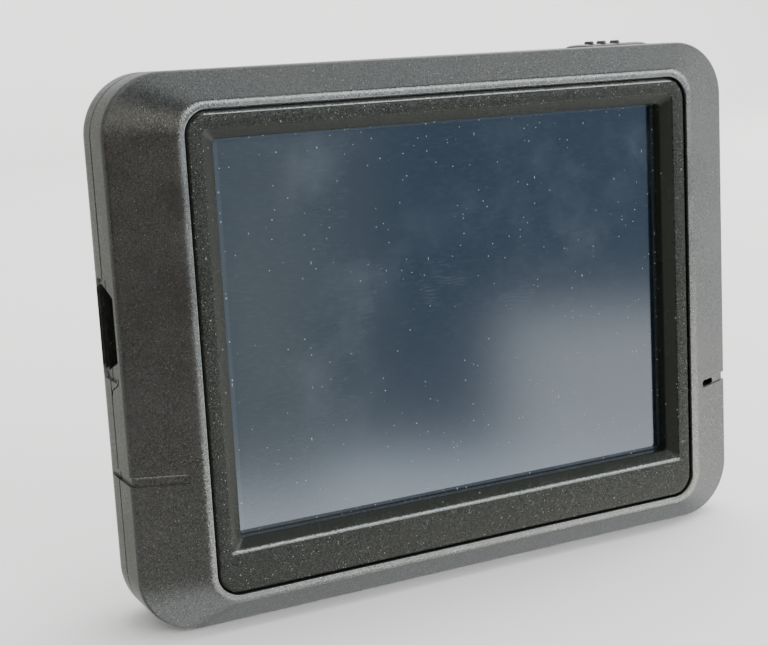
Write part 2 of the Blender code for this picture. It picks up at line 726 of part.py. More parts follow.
def usb_notch(depths, clearance):
    """Room for the USB socket's shell in a sheet that it passes through."""
    inner_x = -PORT_FLOOR_X + USB_LENGTH + clearance
    return Block((-HALF, inner_x), depths, around(PORT_Z, USB_HALF_Z + clearance))


def main_board():
    board = box("main_board", Block((-BOARD_HALF, BOARD_HALF), BOARD, BOARD_Z), SOLDER_MASK)
    through = (BOARD[0] - 0.6, BOARD[1] + 0.6)
    corner_x, corner_z = BOARD_CORNER
    for side, side_name in ((-1, "left"), (1, "right")):
        xs = sorted((side * (BOARD_HALF - corner_x), side * HALF))
        levels = (("low", (0.0, BOARD_Z[0] + corner_z)), ("high", (BOARD_Z[1] - corner_z, HEIGHT)))
        for level_name, zs in levels:
            cut(board, box(f"cut_board_{side_name}_{level_name}", Block(xs, through, zs)))
    port_room = (PORT_BLOCK.z[0] - 0.3, PORT_BLOCK.z[1] + 0.3)
    cut(board, box("cut_board_port", Block((-HALF, 0.2 - PORT_BLOCK.x[0]), through, port_room)))
    cut(board, box("cut_board_usb", usb_notch(through, 0.35)))
    for number, (x, z) in enumerate(BOARD_SCREWS, 1):
        cut(board, cylinder(f"cut_board_screw_{number}", x, z, 0.9, through, steps=8))


def board_screws():
    head, shank = 1.3, 0.6
    profile = [
        (0.0, ON_BOARD + 0.75),
        (head - 0.2, ON_BOARD + 0.75),
        (head, ON_BOARD + 0.5),
        (head, ON_BOARD),
        (shank, ON_BOARD),
        (shank, CHASSIS[0] + 0.05),
        (0.0, CHASSIS[0] + 0.05),
    ]
    for number, (x, z) in enumerate(BOARD_SCREWS, 1):
        turned(f"board_screw_{number}", x, z, profile, SCREW_STEEL, 10)


# ---------------------------------------------------------------- parts on the board
def shield_can(name, block):
    """A pressed steel lid that is open towards the board."""
    can = box(name, block, SHEET_STEEL, rounding=0.6, axis=1)
    inside = Block(
        (block.x[0] + SHEET, block.x[1] - SHEET),
        (block.depth[0] - 1.0, block.depth[1] - SHEET),
        (block.z[0] + SHEET, block.z[1] - SHEET),
    )
    cut(can, box(f"cut_{name}", inside))
    return can


def radio_and_antenna():
    """The GPS antenna is a ceramic patch on the radio's shield. Its feed pin passes through both."""
    radio_depths = (ON_BOARD, ANTENNA_DEPTHS[0] - 0.1)
    radio_block = Block(around(ANTENNA_X, RADIO_HALF), radio_depths, around(ANTENNA_Z, RADIO_HALF))
    radio = shield_can("radio_shield", radio_block)
    cut(radio, cylinder("cut_radio_feed", ANTENNA_X, ANTENNA_FEED_Z, 0.9, (9.5, 12.0), steps=10))
    patch_block = Block(around(ANTENNA_X, ANTENNA_HALF), ANTENNA_DEPTHS, around(ANTENNA_Z, ANTENNA_HALF))
    patch = box("antenna_patch", patch_block, CERAMIC, rounding=0.8, axis=1)
    cut(patch, cylinder("cut_antenna_feed", ANTENNA_X, ANTENNA_FEED_Z, 0.65, (10.0, 16.0), steps=10))
    face = ANTENNA_DEPTHS[1] + 0.1
    pin = [(0.0, face + 0.3), (1.0, face + 0.3), (1.0, face), (0.4, face), (0.4, ON_BOARD), (0.0, ON_BOARD)]
    turned("antenna_feed_pin", ANTENNA_X, ANTENNA_FEED_Z, pin, SHEET_STEEL, 10)


def chips():
    chip_back = 9.75
    shield_can("processor_shield", Block(PROCESSOR_X, (ON_BOARD, 10.7), PROCESSOR_Z))
    box("processor_chip", Block((-8.9, 4.1), (ON_BOARD, chip_back), (46.0, 59.0)), BLACK_PLASTIC)
    box("memory_chip", Block((23.5, 33.5), (ON_BOARD, chip_back), (13.5, 25.5)), BLACK_PLASTIC)


def battery_and_leads():
    box("battery_pack", BATTERY, BATTERY_WRAP, rounding=1.6)
    inset_x, inset_z = BATTERY_FOAM_INSET
    foam = Block(
        (BATTERY.x[0] + inset_x, BATTERY.x[1] - inset_x),
        (BATTERY.depth[1] + 0.15, BACK_INSIDE - 0.15),
        (BATTERY.z[0] + inset_z, BATTERY.z[1] - inset_z),
    )
    box("battery_foam", foam, FOAM)
    box("battery_header", BATTERY_HEADER, WHITE_PLASTIC)
    exit_x = BATTERY.x[1] + 0.3
    for name, material, x, rise in (("red", RED_WIRE, 14.8, 0.0), ("black", BLACK_WIRE, 16.6, 1.7)):
        route = (
            (exit_x, 12.6, 23.2 + rise),
            (exit_x + 1.6, 12.6, 23.5 + rise),
            (x - 0.2, 12.4, 22.9 + rise),
            (x, 11.2, 21.6),
            (x, 10.2, 20.4),
            (x, 10.1, 19.9),
        )
        tube(f"battery_lead_{name}", smooth_route(route), 0.45, material)


def speaker():
    """Basket, magnet, cone, foam ring and dust cloth, with the cone facing the grille in the back."""
    front, rim = SPEAKER_FRONT, SPEAKER_RIM
    plate = front + 0.45
    basket = [
        (SPEAKER_RADIUS, rim),
        (SPEAKER_RADIUS, front),
        (3.0, front),
        (3.0, plate),
        (13.0, plate),
        (13.0, rim),
    ]
    dome, collar, crease = rim - 0.35, 2.0, rim - 1.2
    cone = [
        (0.0, dome),
        (3.4, crease),
        (12.3, rim - 0.4),
        (12.5, rim - 0.7),
        (3.4, crease - 0.4),
        (collar + 0.3, crease - 0.6),
        (collar + 0.3, front - 0.3),
        (collar, front - 0.3),
        (collar, crease - 0.4),
        (0.0, dome - 0.35),
    ]
    pole = front - 0.15
    magnet_back, gap_floor = 12.6, 13.2
    magnet = [
        (0.0, pole - 0.45),
        (1.7, pole - 0.45),
        (1.7, gap_floor),
        (2.7, gap_floor),
        (2.7, pole),
        (6.6, pole),
        (6.6, magnet_back),
        (0.0, magnet_back),
    ]
    turned("speaker_basket", SPEAKER_X, SPEAKER_Z, basket, BLACK_PLASTIC)
    turned("speaker_magnet", SPEAKER_X, SPEAKER_Z, magnet, MAGNET, 24)
    turned("speaker_cone", SPEAKER_X, SPEAKER_Z, cone, CONE, 24)
    foam = (rim + 0.15, BACK_INSIDE - 0.15)
    ring = [(SPEAKER_RADIUS, foam[1]), (SPEAKER_RADIUS, foam[0]), (12.2, foam[0]), (12.2, foam[1])]
    turned("speaker_gasket", SPEAKER_X, SPEAKER_Z, ring, FOAM)
    cylinder("speaker_cloth", SPEAKER_X, SPEAKER_Z, 11.9, (foam[1] - 0.2, foam[1]), RUBBER, steps=24)
    box("speaker_header", SPEAKER_HEADER, WHITE_PLASTIC)
    for name, material, x in (("red", RED_WIRE, 19.1), ("black", BLACK_WIRE, 17.6)):
        lift = 19.1 - x
        route = (
            (15.7, 14.9, 57.0 + lift),
            (16.4, 14.8, 58.4 + lift),
            (x - 0.2, 14.0, 60.6 + lift * 0.5),
            (x, 12.6, 62.2),
            (x, 11.0, 62.4),
        )
        tube(f"speaker_lead_{name}", smooth_route(route), 0.4, material)


def microphone():
    """The capsule sits in a rubber boot whose snout reaches up to the slot in the bezel."""
    foot, shoulder, snout = BOARD[0] - 0.08, 5.2, 4.45
    bore, seat, floor = 0.75, 2.0, 5.5
    boot = [
        (2.4, foot),
        (2.4, shoulder),
        (1.25, shoulder),
        (1.25, snout),
        (bore, snout),
        (bore, floor),
        (seat, floor),
        (seat, foot),
    ]
    turned("microphone_boot", MIC_X, MIC_Z, boot, RUBBER, 16)
    cylinder("microphone_capsule", MIC_X, MIC_Z, seat - 0.15, (floor + 0.15, foot), SHEET_STEEL, steps=16)


def usb_socket():
    """The socket's steel shell, and the plastic tongue that carries its contacts."""
    mouth, back = -PORT_FLOOR_X, -PORT_FLOOR_X + USB_LENGTH
    middle = sum(USB_DEPTHS) / 2
    thick = 0.3
    shell_block = Block((mouth, back), USB_DEPTHS, around(PORT_Z, USB_HALF_Z))
    shell = box("usb_shell", shell_block, SHEET_STEEL, rounding=0.5, axis=0)
    for name, side in (("low", -1), ("high", 1)):
        zs = sorted((PORT_Z + side * (USB_HALF_Z - 0.2), PORT_Z + side * (USB_HALF_Z + 1.5)))
        tab = Block((mouth + 2.4, back - 1.0), (ON_BOARD, ON_BOARD + thick), zs)
        join(shell, box(f"join_usb_tab_{name}", tab))
    cavity_depths = (USB_DEPTHS[0] + thick, USB_DEPTHS[1] - thick)
    cavity = Block((mouth - 1.0, back - thick), cavity_depths, around(PORT_Z, USB_HALF_Z - thick))
    cut(shell, box("cut_usb_cavity", cavity))
    tongue = Block((mouth + 1.2, back - 1.9), around(middle, 0.45), around(PORT_Z, 2.6))
    base = Block((back - 2.5, back - thick - 0.1), around(middle, 1.45), around(PORT_Z, 3.4))
    join(box("usb_tongue", tongue, BLACK_PLASTIC), box("join_usb_base", base))


# ---------------------------------------------------------------- memory card socket
def card_socket():
    past = CARD_RIM + 1.0
    base = box("card_socket_base", Block(SOCKET_X, (ON_BOARD, CARD_RIM), SOCKET_Z), BLACK_PLASTIC)
    cavity = Block((CARD_STOP_X, SOCKET_X[1] + 1.0), (CARD_FLOOR, past), around(CARD_Z, CARD_HALF_Z))
    channel_x = (EJECT_SPRING_X[0] - 0.2, SOCKET_X[1] - 3.6)
    channel = Block(channel_x, (CARD_FLOOR, past), (CHANNEL_Z[0] - 0.2, CHANNEL_Z[1]))
    opened = Block((CARD_STOP_X, channel_x[1]), (CARD_FLOOR, past), around(CHANNEL_Z[0], 0.8))
    cut(base, box("cut_card_cavity", cavity), box("cut_eject_channel", channel))
    cut(base, box("cut_eject_way", opened))

    lid_depths = (CARD_RIM + 0.05, CARD_RIM + 0.05 + SHEET)
    lid = Block((SOCKET_X[0] + 0.6, SOCKET_X[1]), lid_depths, SOCKET_Z)
    cover = box("card_socket_cover", lid, SHEET_STEEL)
    xs = (SOCKET_X[0] + 3.0, SOCKET_X[1] - 1.6)
    for name, edge, outward in (("low", SOCKET_Z[0], -1), ("high", SOCKET_Z[1], 1)):
        flange = sorted((edge + outward * 0.1, edge + outward * (0.1 + SHEET)))
        bridge = sorted((edge - outward, edge + outward * (0.1 + SHEET)))
        join(cover, box(f"join_cover_side_{name}", Block(xs, (CARD_FLOOR, lid_depths[1]), flange)))
        join(cover, box(f"join_cover_edge_{name}", Block(xs, lid_depths, bridge)))


def card_ejector():
    """The card pushes the slider's arm inwards. The spring in the side channel sends it back out."""
    depths = (CARD_FLOOR + 0.15, CARD_RIM - 0.15)
    top = CHANNEL_Z[1] - 0.2
    rail = Block((EJECT_ARM_X[0] + 1.6, EJECT_ARM_X[0] + 10.0), depths, (CHANNEL_Z[0], top))
    slider = box("card_eject_slider", rail, WHITE_PLASTIC)
    join(slider, box("join_eject_arm", Block(EJECT_ARM_X, depths, (CARD_Z + CARD_HALF_Z - 4.5, top))))
    turns, per_turn, coil_radius, wire = 7, 10, 0.78, 0.14
    start_x, end_x = EJECT_SPRING_X
    middle_depth, middle_z = sum(depths) / 2, sum(CHANNEL_Z) / 2
    route = []
    for step in range(turns * per_turn + 1):
        angle = 2 * math.pi * step / per_turn
        x = start_x + (end_x - start_x) * step / (turns * per_turn)
        depth = middle_depth + coil_radius * math.cos(angle)
        route.append(point(x, depth, middle_z + coil_radius * math.sin(angle)))
    tube("card_eject_spring", route, wire, SHEET_STEEL, resolution=1)


# ---------------------------------------------------------------- power slider
def power_slider():
    """The finger piece has its flange under the top wall. Its fork drives the switch's lever."""
    cap_low = HEIGHT - WALL - 0.6
    cap_centre = (SLIDER_X, SEAM, (cap_low + SLIDER_DECK) / 2)
    cap_height = SLIDER_DECK - cap_low
    knob = slot("power_knob", SLIDER_CAP, cap_centre, cap_height, True, CASE_GREY, steps=6)
    for number, x in enumerate(RIDGE_XS, 1):
        ridge = Block(around(x, 0.4), around(SEAM, 1.05), (SLIDER_DECK - 0.6, SLIDER_DECK + 0.4))
        join(knob, box(f"join_ridge_{number}", ridge, rounding=0.2, axis=1))
    flange_zs = (HEIGHT - 3.0, HEIGHT - WALL - 0.25)
    flange = Block(around(SLIDER_X, SLIDER_FLANGE_HALF), around(SEAM, 3.6), flange_zs)
    join(knob, box("join_knob_flange", flange))
    lever_depths = around(SWITCH_DEPTH, 0.6)
    for name, side in (("left", -1), ("right", 1)):
        xs = sorted((SLIDER_X + side * (LEVER_HALF + 0.2), SLIDER_X + side * (LEVER_HALF + 1.7)))
        join(knob, box(f"join_prong_{name}", Block(xs, lever_depths, (SWITCH_Z[1] + 0.8, HEIGHT - 2.6))))

    housing = box("switch_housing", Block(around(SLIDER_X, 4.3), (ON_BOARD, 11.3), SWITCH_Z), BLACK_PLASTIC)
    groove_z = (SWITCH_Z[0] + 1.4, SWITCH_Z[1] + 1.0)
    groove = Block(around(SLIDER_X, LEVER_HALF + 1.7), around(SWITCH_DEPTH, 0.75), groove_z)
    cut(housing, box("cut_switch_groove", groove))
    lever = Block(around(SLIDER_X, LEVER_HALF), lever_depths, (SWITCH_Z[0] + 1.6, SWITCH_Z[1] + 2.4))
    box("switch_lever", lever, WHITE_PLASTIC)


# ---------------------------------------------------------------- cables inside
def flexible_cables():
    """Both cables leave the bottom of their panel, pass under the board's edge and plug in behind it."""
    display_route = [(4.64, 7.4), (4.64, 6.0), *bend((5.8, 5.4), 1.16, 180, 250), (7.3, 3.9)]
    display_route += [*bend((8.5, 4.6), 1.15, 250, 360), (9.65, 5.7)]
    strip("display_cable", display_route, (19.5, 32.5), 0.16, POLYIMIDE)
    touch_route = [(3.41, 6.6), (3.41, 6.0), *bend((4.6, 5.0), 1.19, 180, 250), (6.6, 3.2)]
    touch_route += [*bend((8.4, 4.3), 1.45, 250, 360), (9.85, 4.9)]
    strip("touch_cable", touch_route, (34.4, 37.4), 0.16, POLYIMIDE)
    box("display_connector", Block((18.8, 33.2), (ON_BOARD, 10.3), (5.9, 9.2)), BLACK_PLASTIC)
    box("touch_connector", Block((34.0, 37.8), (ON_BOARD, 10.5), (5.1, 7.6)), BLACK_PLASTIC)


def build():
    both_shells = shared_cutters()
    front_bezel(both_shells)
    rear_housing(both_shells)
    case_screws()
    rear_label()
    display_surround()
    display_sheets()
    chassis_plate()
    main_board()
    board_screws()
    radio_and_antenna()
    chips()
    battery_and_leads()
    speaker()
    microphone()
    usb_socket()
    card_socket()
    card_ejector()
    power_slider()
    flexible_cables()


build()
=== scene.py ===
"""Looks of the portable GPS navigator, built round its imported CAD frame.

Sizes are in millimetres, and MM turns them into metres. A "depth" is the distance behind the front rim.
Pieces that show are modelled again here with finer curves and edges, to the CAD model's dimensions.
Only the port differs: its steps narrow towards the display, and the shells' joint bends below it.
"""

import json
import math

import bmesh
import bpy
from mathutils import Matrix, Vector


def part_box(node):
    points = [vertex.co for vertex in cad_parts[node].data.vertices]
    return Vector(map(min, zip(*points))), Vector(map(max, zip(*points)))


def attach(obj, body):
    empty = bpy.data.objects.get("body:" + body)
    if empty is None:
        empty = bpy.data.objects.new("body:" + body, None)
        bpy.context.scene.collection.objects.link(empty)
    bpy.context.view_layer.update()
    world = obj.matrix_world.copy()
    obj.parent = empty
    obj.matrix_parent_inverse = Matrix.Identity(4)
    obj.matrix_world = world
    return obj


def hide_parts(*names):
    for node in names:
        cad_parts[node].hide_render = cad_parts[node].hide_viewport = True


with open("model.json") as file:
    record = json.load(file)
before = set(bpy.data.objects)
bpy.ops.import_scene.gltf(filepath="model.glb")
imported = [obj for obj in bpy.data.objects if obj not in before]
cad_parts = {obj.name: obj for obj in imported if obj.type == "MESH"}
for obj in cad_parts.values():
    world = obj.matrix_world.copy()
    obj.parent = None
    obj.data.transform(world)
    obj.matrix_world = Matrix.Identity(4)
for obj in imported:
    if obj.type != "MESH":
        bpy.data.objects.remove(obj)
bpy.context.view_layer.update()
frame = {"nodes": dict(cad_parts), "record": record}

MM = 0.001

# ---------------------------------------------------------------- dimensions
REAR_LOW, REAR_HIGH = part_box("rear_housing")
BEZEL_LOW, BEZEL_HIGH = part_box("front_bezel")
HALF = BEZEL_HIGH.x / MM
HEIGHT = BEZEL_HIGH.z / MM
FRONT_Y = BEZEL_LOW.y / MM
THICKNESS = REAR_HIGH.y / MM - FRONT_Y
SEAM = BEZEL_HIGH.y / MM - FRONT_Y
REAR_START = REAR_LOW.y / MM - FRONT_Y
CORNER = 8.2
WALL = 1.8

# Insets run inwards from the case's outline: SIDE ones along X, END ones along Z.
EDGE_DEPTH = 3.64  # how far the front slope falls
RIM_INSET_SIDE = 8.6
RIM_INSET_END = 3.9
OPENING_INSET_SIDE = 9.65
OPENING_INSET_END = 4.95

# The back's curve starts at one depth and has drawn in by the inset where it meets the back.
CURVE_START_SIDE = 11.2
CURVE_START_END = 14.6
CURVE_INSET_SIDE = 14.0
CURVE_INSET_END = 6.5

GROOVE_LOW = 21.15
GROOVE_HIGH = 22.45
GROOVE_DEPTH = 0.3
GROOVE_INNER_X = 41.9
GROOVE_ROUNDING = 0.5
GROOVE_BACK = 13.6
MIC_X = 44.1
MIC_Z = 21.65

PORT_Z = 41.5  # the socket's middle
PORT_FLOOR_X = 44.7
PORT_MIDDLE_Z = 41.85  # the recess's middle
PORT_HALF_Z = 6.2
PORT_HALF_DEPTH = 3.7
PORT_DROP = 1.17  # how many times farther the recess reaches down than up
PORT_BLOCK_XS = (-47.6, 0.8 - PORT_FLOOR_X)
PORT_BLOCK_HALF_Z = 8.6
CONTACT_COUNT = 5
CONTACT_PITCH = 0.8

SLIDER_X = 31.54
SLIDER_SLOT = (16.4, 5.0)  # length, width
SLIDER_CAP = (13.8, 4.4)
SLIDER_FLANGE_HALF = 9.6
SLIDER_DECK = HEIGHT + 0.4
RIDGE_XS = (28.4, 30.6, 33.05)

SCREW_X = 42.7
SCREW_ZS = (8.6, 65.7)
SCREW_SEAT = 15.4
BOSS_RADIUS = 2.0
PILOT_RADIUS = 0.68
POST_RADIUS = 2.5
HEAD_HOLE_RADIUS = 1.9
SHANK_HOLE_RADIUS = 0.95
HEAD_RADIUS = 1.6
SHANK_RADIUS = 0.6
SPEAKER_Z = 54.5
GRILLE_RADIUS = 10.4
CARD_Z = 41.15
CARD_HALF_Z = 12.2
CARD_BACK = 11.41
FOOT_HALF_X = 8.0
LATCH_HALF_X = 6.0
CRADLE_BITE = 1.8
CRADLE_DEPTHS = (11.2, 13.8)
CRADLE_BLOCK_DEPTHS = (9.8, 15.2)
LABEL_LOW, LABEL_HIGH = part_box("rear_label")

# Outlines round the screen are (half width, bottom, top).
WINDOW = (35.3, 12.25, 65.42)
BEVEL_DEPTH = 1.2
WINDOW_DEPTH = 2.5
PICTURE_HALF_X = 34.5
PICTURE_HALF_Z = 26.2
PICTURE_X = 0.35
PICTURE_Z = 38.85
SURROUND = (39.17, 5.1, 69.2)
SURROUND_DEPTH = 0.2
BEVEL_EDGE = (37.05, 10.75, 66.92)
POCKET = (38.6, 6.4, 68.9)
FLANGE = (40.4, 3.85, 70.45)

WELD = 0.004  # vertices closer than this are one
SHARP = 35  # degrees: steeper edges stay sharp


# ---------------------------------------------------------------- geometry helpers
def at(x, depth, z):
    """A place in metres, from millimetres."""
    return Vector((x * MM, (depth + FRONT_Y) * MM, z * MM))


def around(centre, half):
    """The two ends of a span."""
    return (centre - half, centre + half)


def make_object(name, bm, material=None, smooth=True, angle=30):
    """An object in the scene made from bm. Edges steeper than angle (degrees) stay sharp."""
    bmesh.ops.recalc_face_normals(bm, faces=bm.faces)
    mesh = bpy.data.meshes.new(name)
    bm.to_mesh(mesh)
    bm.free()
    if smooth:
        mesh.shade_smooth()
        mesh.set_sharp_from_angle(angle=math.radians(angle))
    obj = bpy.data.objects.new(name, mesh)
    bpy.context.scene.collection.objects.link(obj)
    if material is not None:
        mesh.materials.append(material)
    return obj


def rounded_ring(half, bottom, top, radius, depth, steps):
    """A rectangle with round corners, from its upper right corner towards its upper left one."""
    ring = []
    high, low = top - radius, bottom + radius
    corners = ((1, high, 0), (-1, high, 90), (-1, low, 180), (1, low, 270))
    for side, centre_z, start in corners:
        for step in range(steps + 1):
            angle = math.radians(start + 90 * step / steps)
            x = side * (half - radius) + radius * math.cos(angle)
            ring.append(at(x, depth, centre_z + radius * math.sin(angle)))
    return ring


def loft(name, rings, material=None, closed=False, smooth=True):
    """Skins rings of equal length. closed joins the last ring to the first, as in a frame."""
    bm = bmesh.new()
    rows = [[bm.verts.new(place) for place in ring] for ring in rings]
    pairs = list(zip(rows, rows[1:]))
    if closed:
        pairs.append((rows[-1], rows[0]))
    else:
        bm.faces.new(rows[0])
        bm.faces.new(reversed(rows[-1]))
    for first, second in pairs:
        for i in range(len(first)):
            bm.faces.new((first[i - 1], first[i], second[i], second[i - 1]))
    return make_object(name, bm, material, smooth)


def softened(path, steps=5):
    """Rounds the corners of a path. Each entry is (point, cut), where the point is a tuple of any length
    and cut is how far from that corner its curve starts."""
    points = [Vector(point) for point, _ in path]
    result = []
    for i, (_, cut) in enumerate(path):
        corner, before, after = points[i], points[i - 1], points[(i + 1) % len(points)]
        if not cut:
            result.append(tuple(corner))
            continue
        start = corner + (before - corner) * min(cut / (before - corner).length, 0.48)
        end = corner + (after - corner) * min(cut / (after - corner).length, 0.48)
        for step in range(steps + 1):
            t = step / steps
            result.append(tuple(start * (1 - t) ** 2 + corner * (2 * t * (1 - t)) + end * t**2))
    return result


def cube(name, xs, depths, zs, material=None, rounding=0.0, axis=None, segments=3, smooth=False):
    """A box. axis 0, 1 or 2 rounds only the edges that run along X, Y or Z."""
    low, high = at(xs[0], depths[0], zs[0]), at(xs[1], depths[1], zs[1])
    bm = bmesh.new()
    bmesh.ops.create_cube(bm, size=1.0)
    bmesh.ops.scale(bm, vec=high - low, verts=bm.verts)
    bmesh.ops.translate(bm, vec=(high + low) / 2, verts=bm.verts)
    if rounding:
        edges = []
        for edge in bm.edges:
            direction = edge.verts[1].co - edge.verts[0].co
            if axis is None or abs(direction[axis]) > 0.99 * direction.length:
                edges.append(edge)
        size = rounding * MM
        bmesh.ops.bevel(bm, geom=edges, offset=size, segments=segments, profile=0.5, affect="EDGES")
    return make_object(name, bm, material, smooth)


def rod(name, x, z, radius, depths, material=None, steps=32, end_radius=None):
    """A cylinder or cone whose axis runs through the thickness."""
    bm = bmesh.new()
    bmesh.ops.create_cone(
        bm,
        cap_ends=True,
        segments=steps,
        radius1=radius * MM,
        radius2=(radius if end_radius is None else end_radius) * MM,
        depth=(depths[1] - depths[0]) * MM,
    )
    turn = Matrix.Rotation(math.radians(-90), 4, "X")
    move = Matrix.Translation(at(x, sum(depths) / 2, z))
    bmesh.ops.transform(bm, matrix=move @ turn, verts=bm.verts)
    return make_object(name, bm, material)


def stadium(size, steps=10):
    """The outline of an oblong with round ends. size is its length and its width."""
    radius = size[1] / 2
    reach = size[0] / 2 - radius
    points = []
    for side, start in ((1, -90), (-1, 90)):
        for step in range(steps + 1):
            angle = math.radians(start + 180 * step / steps)
            points.append((side * reach + radius * math.cos(angle), radius * math.sin(angle)))
    return points


def slot_cutter(name, size, x, z, depths):
    """A round-ended bar through the thickness."""
    outline = stadium(size)
    return loft(name, [[at(x + u, depth, z + v) for u, v in outline] for depth in depths], smooth=False)


def combine(obj, others, operation):
    """Gives obj a Boolean modifier for each of the others."""
    for other in others:
        modifier = obj.modifiers.new(other.name, "BOOLEAN")
        modifier.operation = operation
        modifier.object = other
        modifier.solver = "EXACT"


def bake_modifiers(obj):
    """Applies obj's modifiers, so that its mesh is final."""
    graph = bpy.context.evaluated_depsgraph_get()
    mesh = bpy.data.meshes.new_from_object(obj.evaluated_get(graph))
    obj.modifiers.clear()
    obj.data = mesh
    return obj


def finish_shell(obj, joined, removed, edge=0.12, angle=38):
    """Joins some objects to obj, cuts others from it, and rounds the edges steeper than angle (degrees)
    by the width edge."""
    combine(obj, joined, "UNION")
    combine(obj, removed, "DIFFERENCE")
    bake_modifiers(obj)
    bm = bmesh.new()
    bm.from_mesh(obj.data)
    bmesh.ops.remove_doubles(bm, verts=bm.verts, dist=WELD * MM)
    bmesh.ops.dissolve_degenerate(bm, edges=bm.edges, dist=WELD * MM)
    bm.to_mesh(obj.data)
    bm.free()
    bevel = obj.modifiers.new("edges", "BEVEL")
    bevel.width = edge * MM
    bevel.segments = 2
    bevel.limit_method = "ANGLE"
    bevel.angle_limit = math.radians(angle)
    bevel.use_clamp_overlap = True
    bevel.harden_normals = False
    bake_modifiers(obj)
    obj.data.shade_smooth()
    obj.data.set_sharp_from_angle(angle=math.radians(SHARP))
    weighted = obj.modifiers.new("normals", "WEIGHTED_NORMAL")
    weighted.keep_sharp = True
    bake_modifiers(obj)


def drop(*objects):
    """Removes tools that have done their work."""
    for obj in objects:
        bpy.data.objects.remove(obj, do_unlink=True)


# ---------------------------------------------------------------- materials
def new_material(name, colour, roughness, metallic=0.0, **constants):
    """A material with a Principled shader. constants are other inputs, with _ for each space."""
    material = bpy.data.materials.new(name)
    material.use_nodes = True
    shader = material.node_tree.nodes["Principled BSDF"]
    shader.inputs["Base Color"].default_value = (*colour, 1.0)
    shader.inputs["Roughness"].default_value = roughness
    shader.inputs["Metallic"].default_value = metallic
    for key, value in constants.items():
        shader.inputs[key.replace("_", " ")].default_value = value
    return material, material.node_tree, shader


def add(tree, kind, inputs=None, **settings):
    """Adds a node. inputs maps a socket's name or number to a value, or to an output to link."""
    node = tree.nodes.new(f"ShaderNode{kind}")
    for key, value in settings.items():
        setattr(node, key, value)
    for key, value in (inputs or {}).items():
        if isinstance(value, bpy.types.NodeSocket):
            tree.links.new(value, node.inputs[key])
        else:
            node.inputs[key].default_value = value
    return node


def place(tree):
    """Coordinates that stick to the piece, in metres."""
    return add(tree, "TexCoord").outputs["Object"]


def mapped(tree, where, rotation=(0.0, 0.0, 0.0), scale=(1.0, 1.0, 1.0)):
    """Coordinates turned by rotation, in radians, and stretched by scale."""
    return add(tree, "Mapping", {"Vector": where, "Rotation": rotation, "Scale": scale}).outputs[0]


def noise(tree, scale, detail=3.0, rough=0.55, where=None):
    """Smooth random values. scale is about how many lumps a metre has, here and in the other patterns."""
    inputs = {"Scale": scale, "Detail": detail, "Roughness": rough, "Vector": where or place(tree)}
    return add(tree, "TexNoise", inputs).outputs["Fac"]


def cells(tree, scale, where=None):
    """A random value for each cell, and the distance to the cell's middle."""
    node = add(tree, "TexVoronoi", {"Scale": scale, "Vector": where or place(tree)})
    value = add(tree, "SeparateColor", {0: node.outputs["Color"]}).outputs[0]
    return value, node.outputs["Distance"]


def remap(tree, value, low, high, to_low=0.0, to_high=1.0):
    """Goes smoothly from to_low, where value is low, to to_high, where it is high, and stays there."""
    inputs = {"Value": value, "From Min": low, "From Max": high, "To Min": to_low, "To Max": to_high}
    return add(tree, "MapRange", inputs, interpolation_type="SMOOTHSTEP").outputs["Result"]


def math_node(tree, operation, first, second=0.0):
    return add(tree, "Math", {0: first, 1: second}, operation=operation).outputs[0]


def product(tree, first, second):
    return math_node(tree, "MULTIPLY", first, second)


def blend_colour(tree, factor, first, second):
    """Goes from first at factor 0 to second at factor 1. Either is a colour or an output."""
    node = add(tree, "Mix", {"Factor": factor}, data_type="RGBA")
    for socket, value in ((node.inputs[6], first), (node.inputs[7], second)):
        if isinstance(value, bpy.types.NodeSocket):
            tree.links.new(value, socket)
        else:
            socket.default_value = (*value, 1.0)
    return node.outputs[2]


def bump(tree, shader, height, distance, strength=1.0, onto=None):
    """distance is in millimetres."""
    inputs = {"Height": height, "Distance": distance * MM, "Strength": strength}
    if onto is not None:
        inputs["Normal"] = onto
    node = add(tree, "Bump", inputs)
    tree.links.new(node.outputs["Normal"], shader.inputs["Normal"])
    return node.outputs["Normal"]


def link(tree, output, shader, name):
    tree.links.new(output, shader.inputs[name])


def specks(tree, where, scale, share, size):
    """Spots of one size, in a share of the cells of a Voronoi pattern. size is a part of a cell."""
    pick, reach = cells(tree, scale, where)
    chosen = remap(tree, pick, 1 - share, 1 - 0.6 * share)
    return product(tree, chosen, remap(tree, reach, size, 0.5 * size))


def tilted_flakes(tree, where, scale, tilt):
    """The surface's normal, turned at random by up to about half of tilt (radians) in each flake."""
    colour = add(tree, "TexVoronoi", {"Scale": scale, "Vector": where}).outputs["Color"]
    centred = add(tree, "VectorMath", {0: colour, 1: (0.5, 0.5, 0.5)}, operation="SUBTRACT").outputs[0]
    scaled = add(tree, "VectorMath", {0: centred, "Scale": tilt}, operation="SCALE").outputs[0]
    normal = add(tree, "NewGeometry").outputs["Normal"]
    turned = add(tree, "VectorMath", {0: normal, 1: scaled}, operation="ADD").outputs[0]
    return add(tree, "VectorMath", {0: turned}, operation="NORMALIZE").outputs[0]


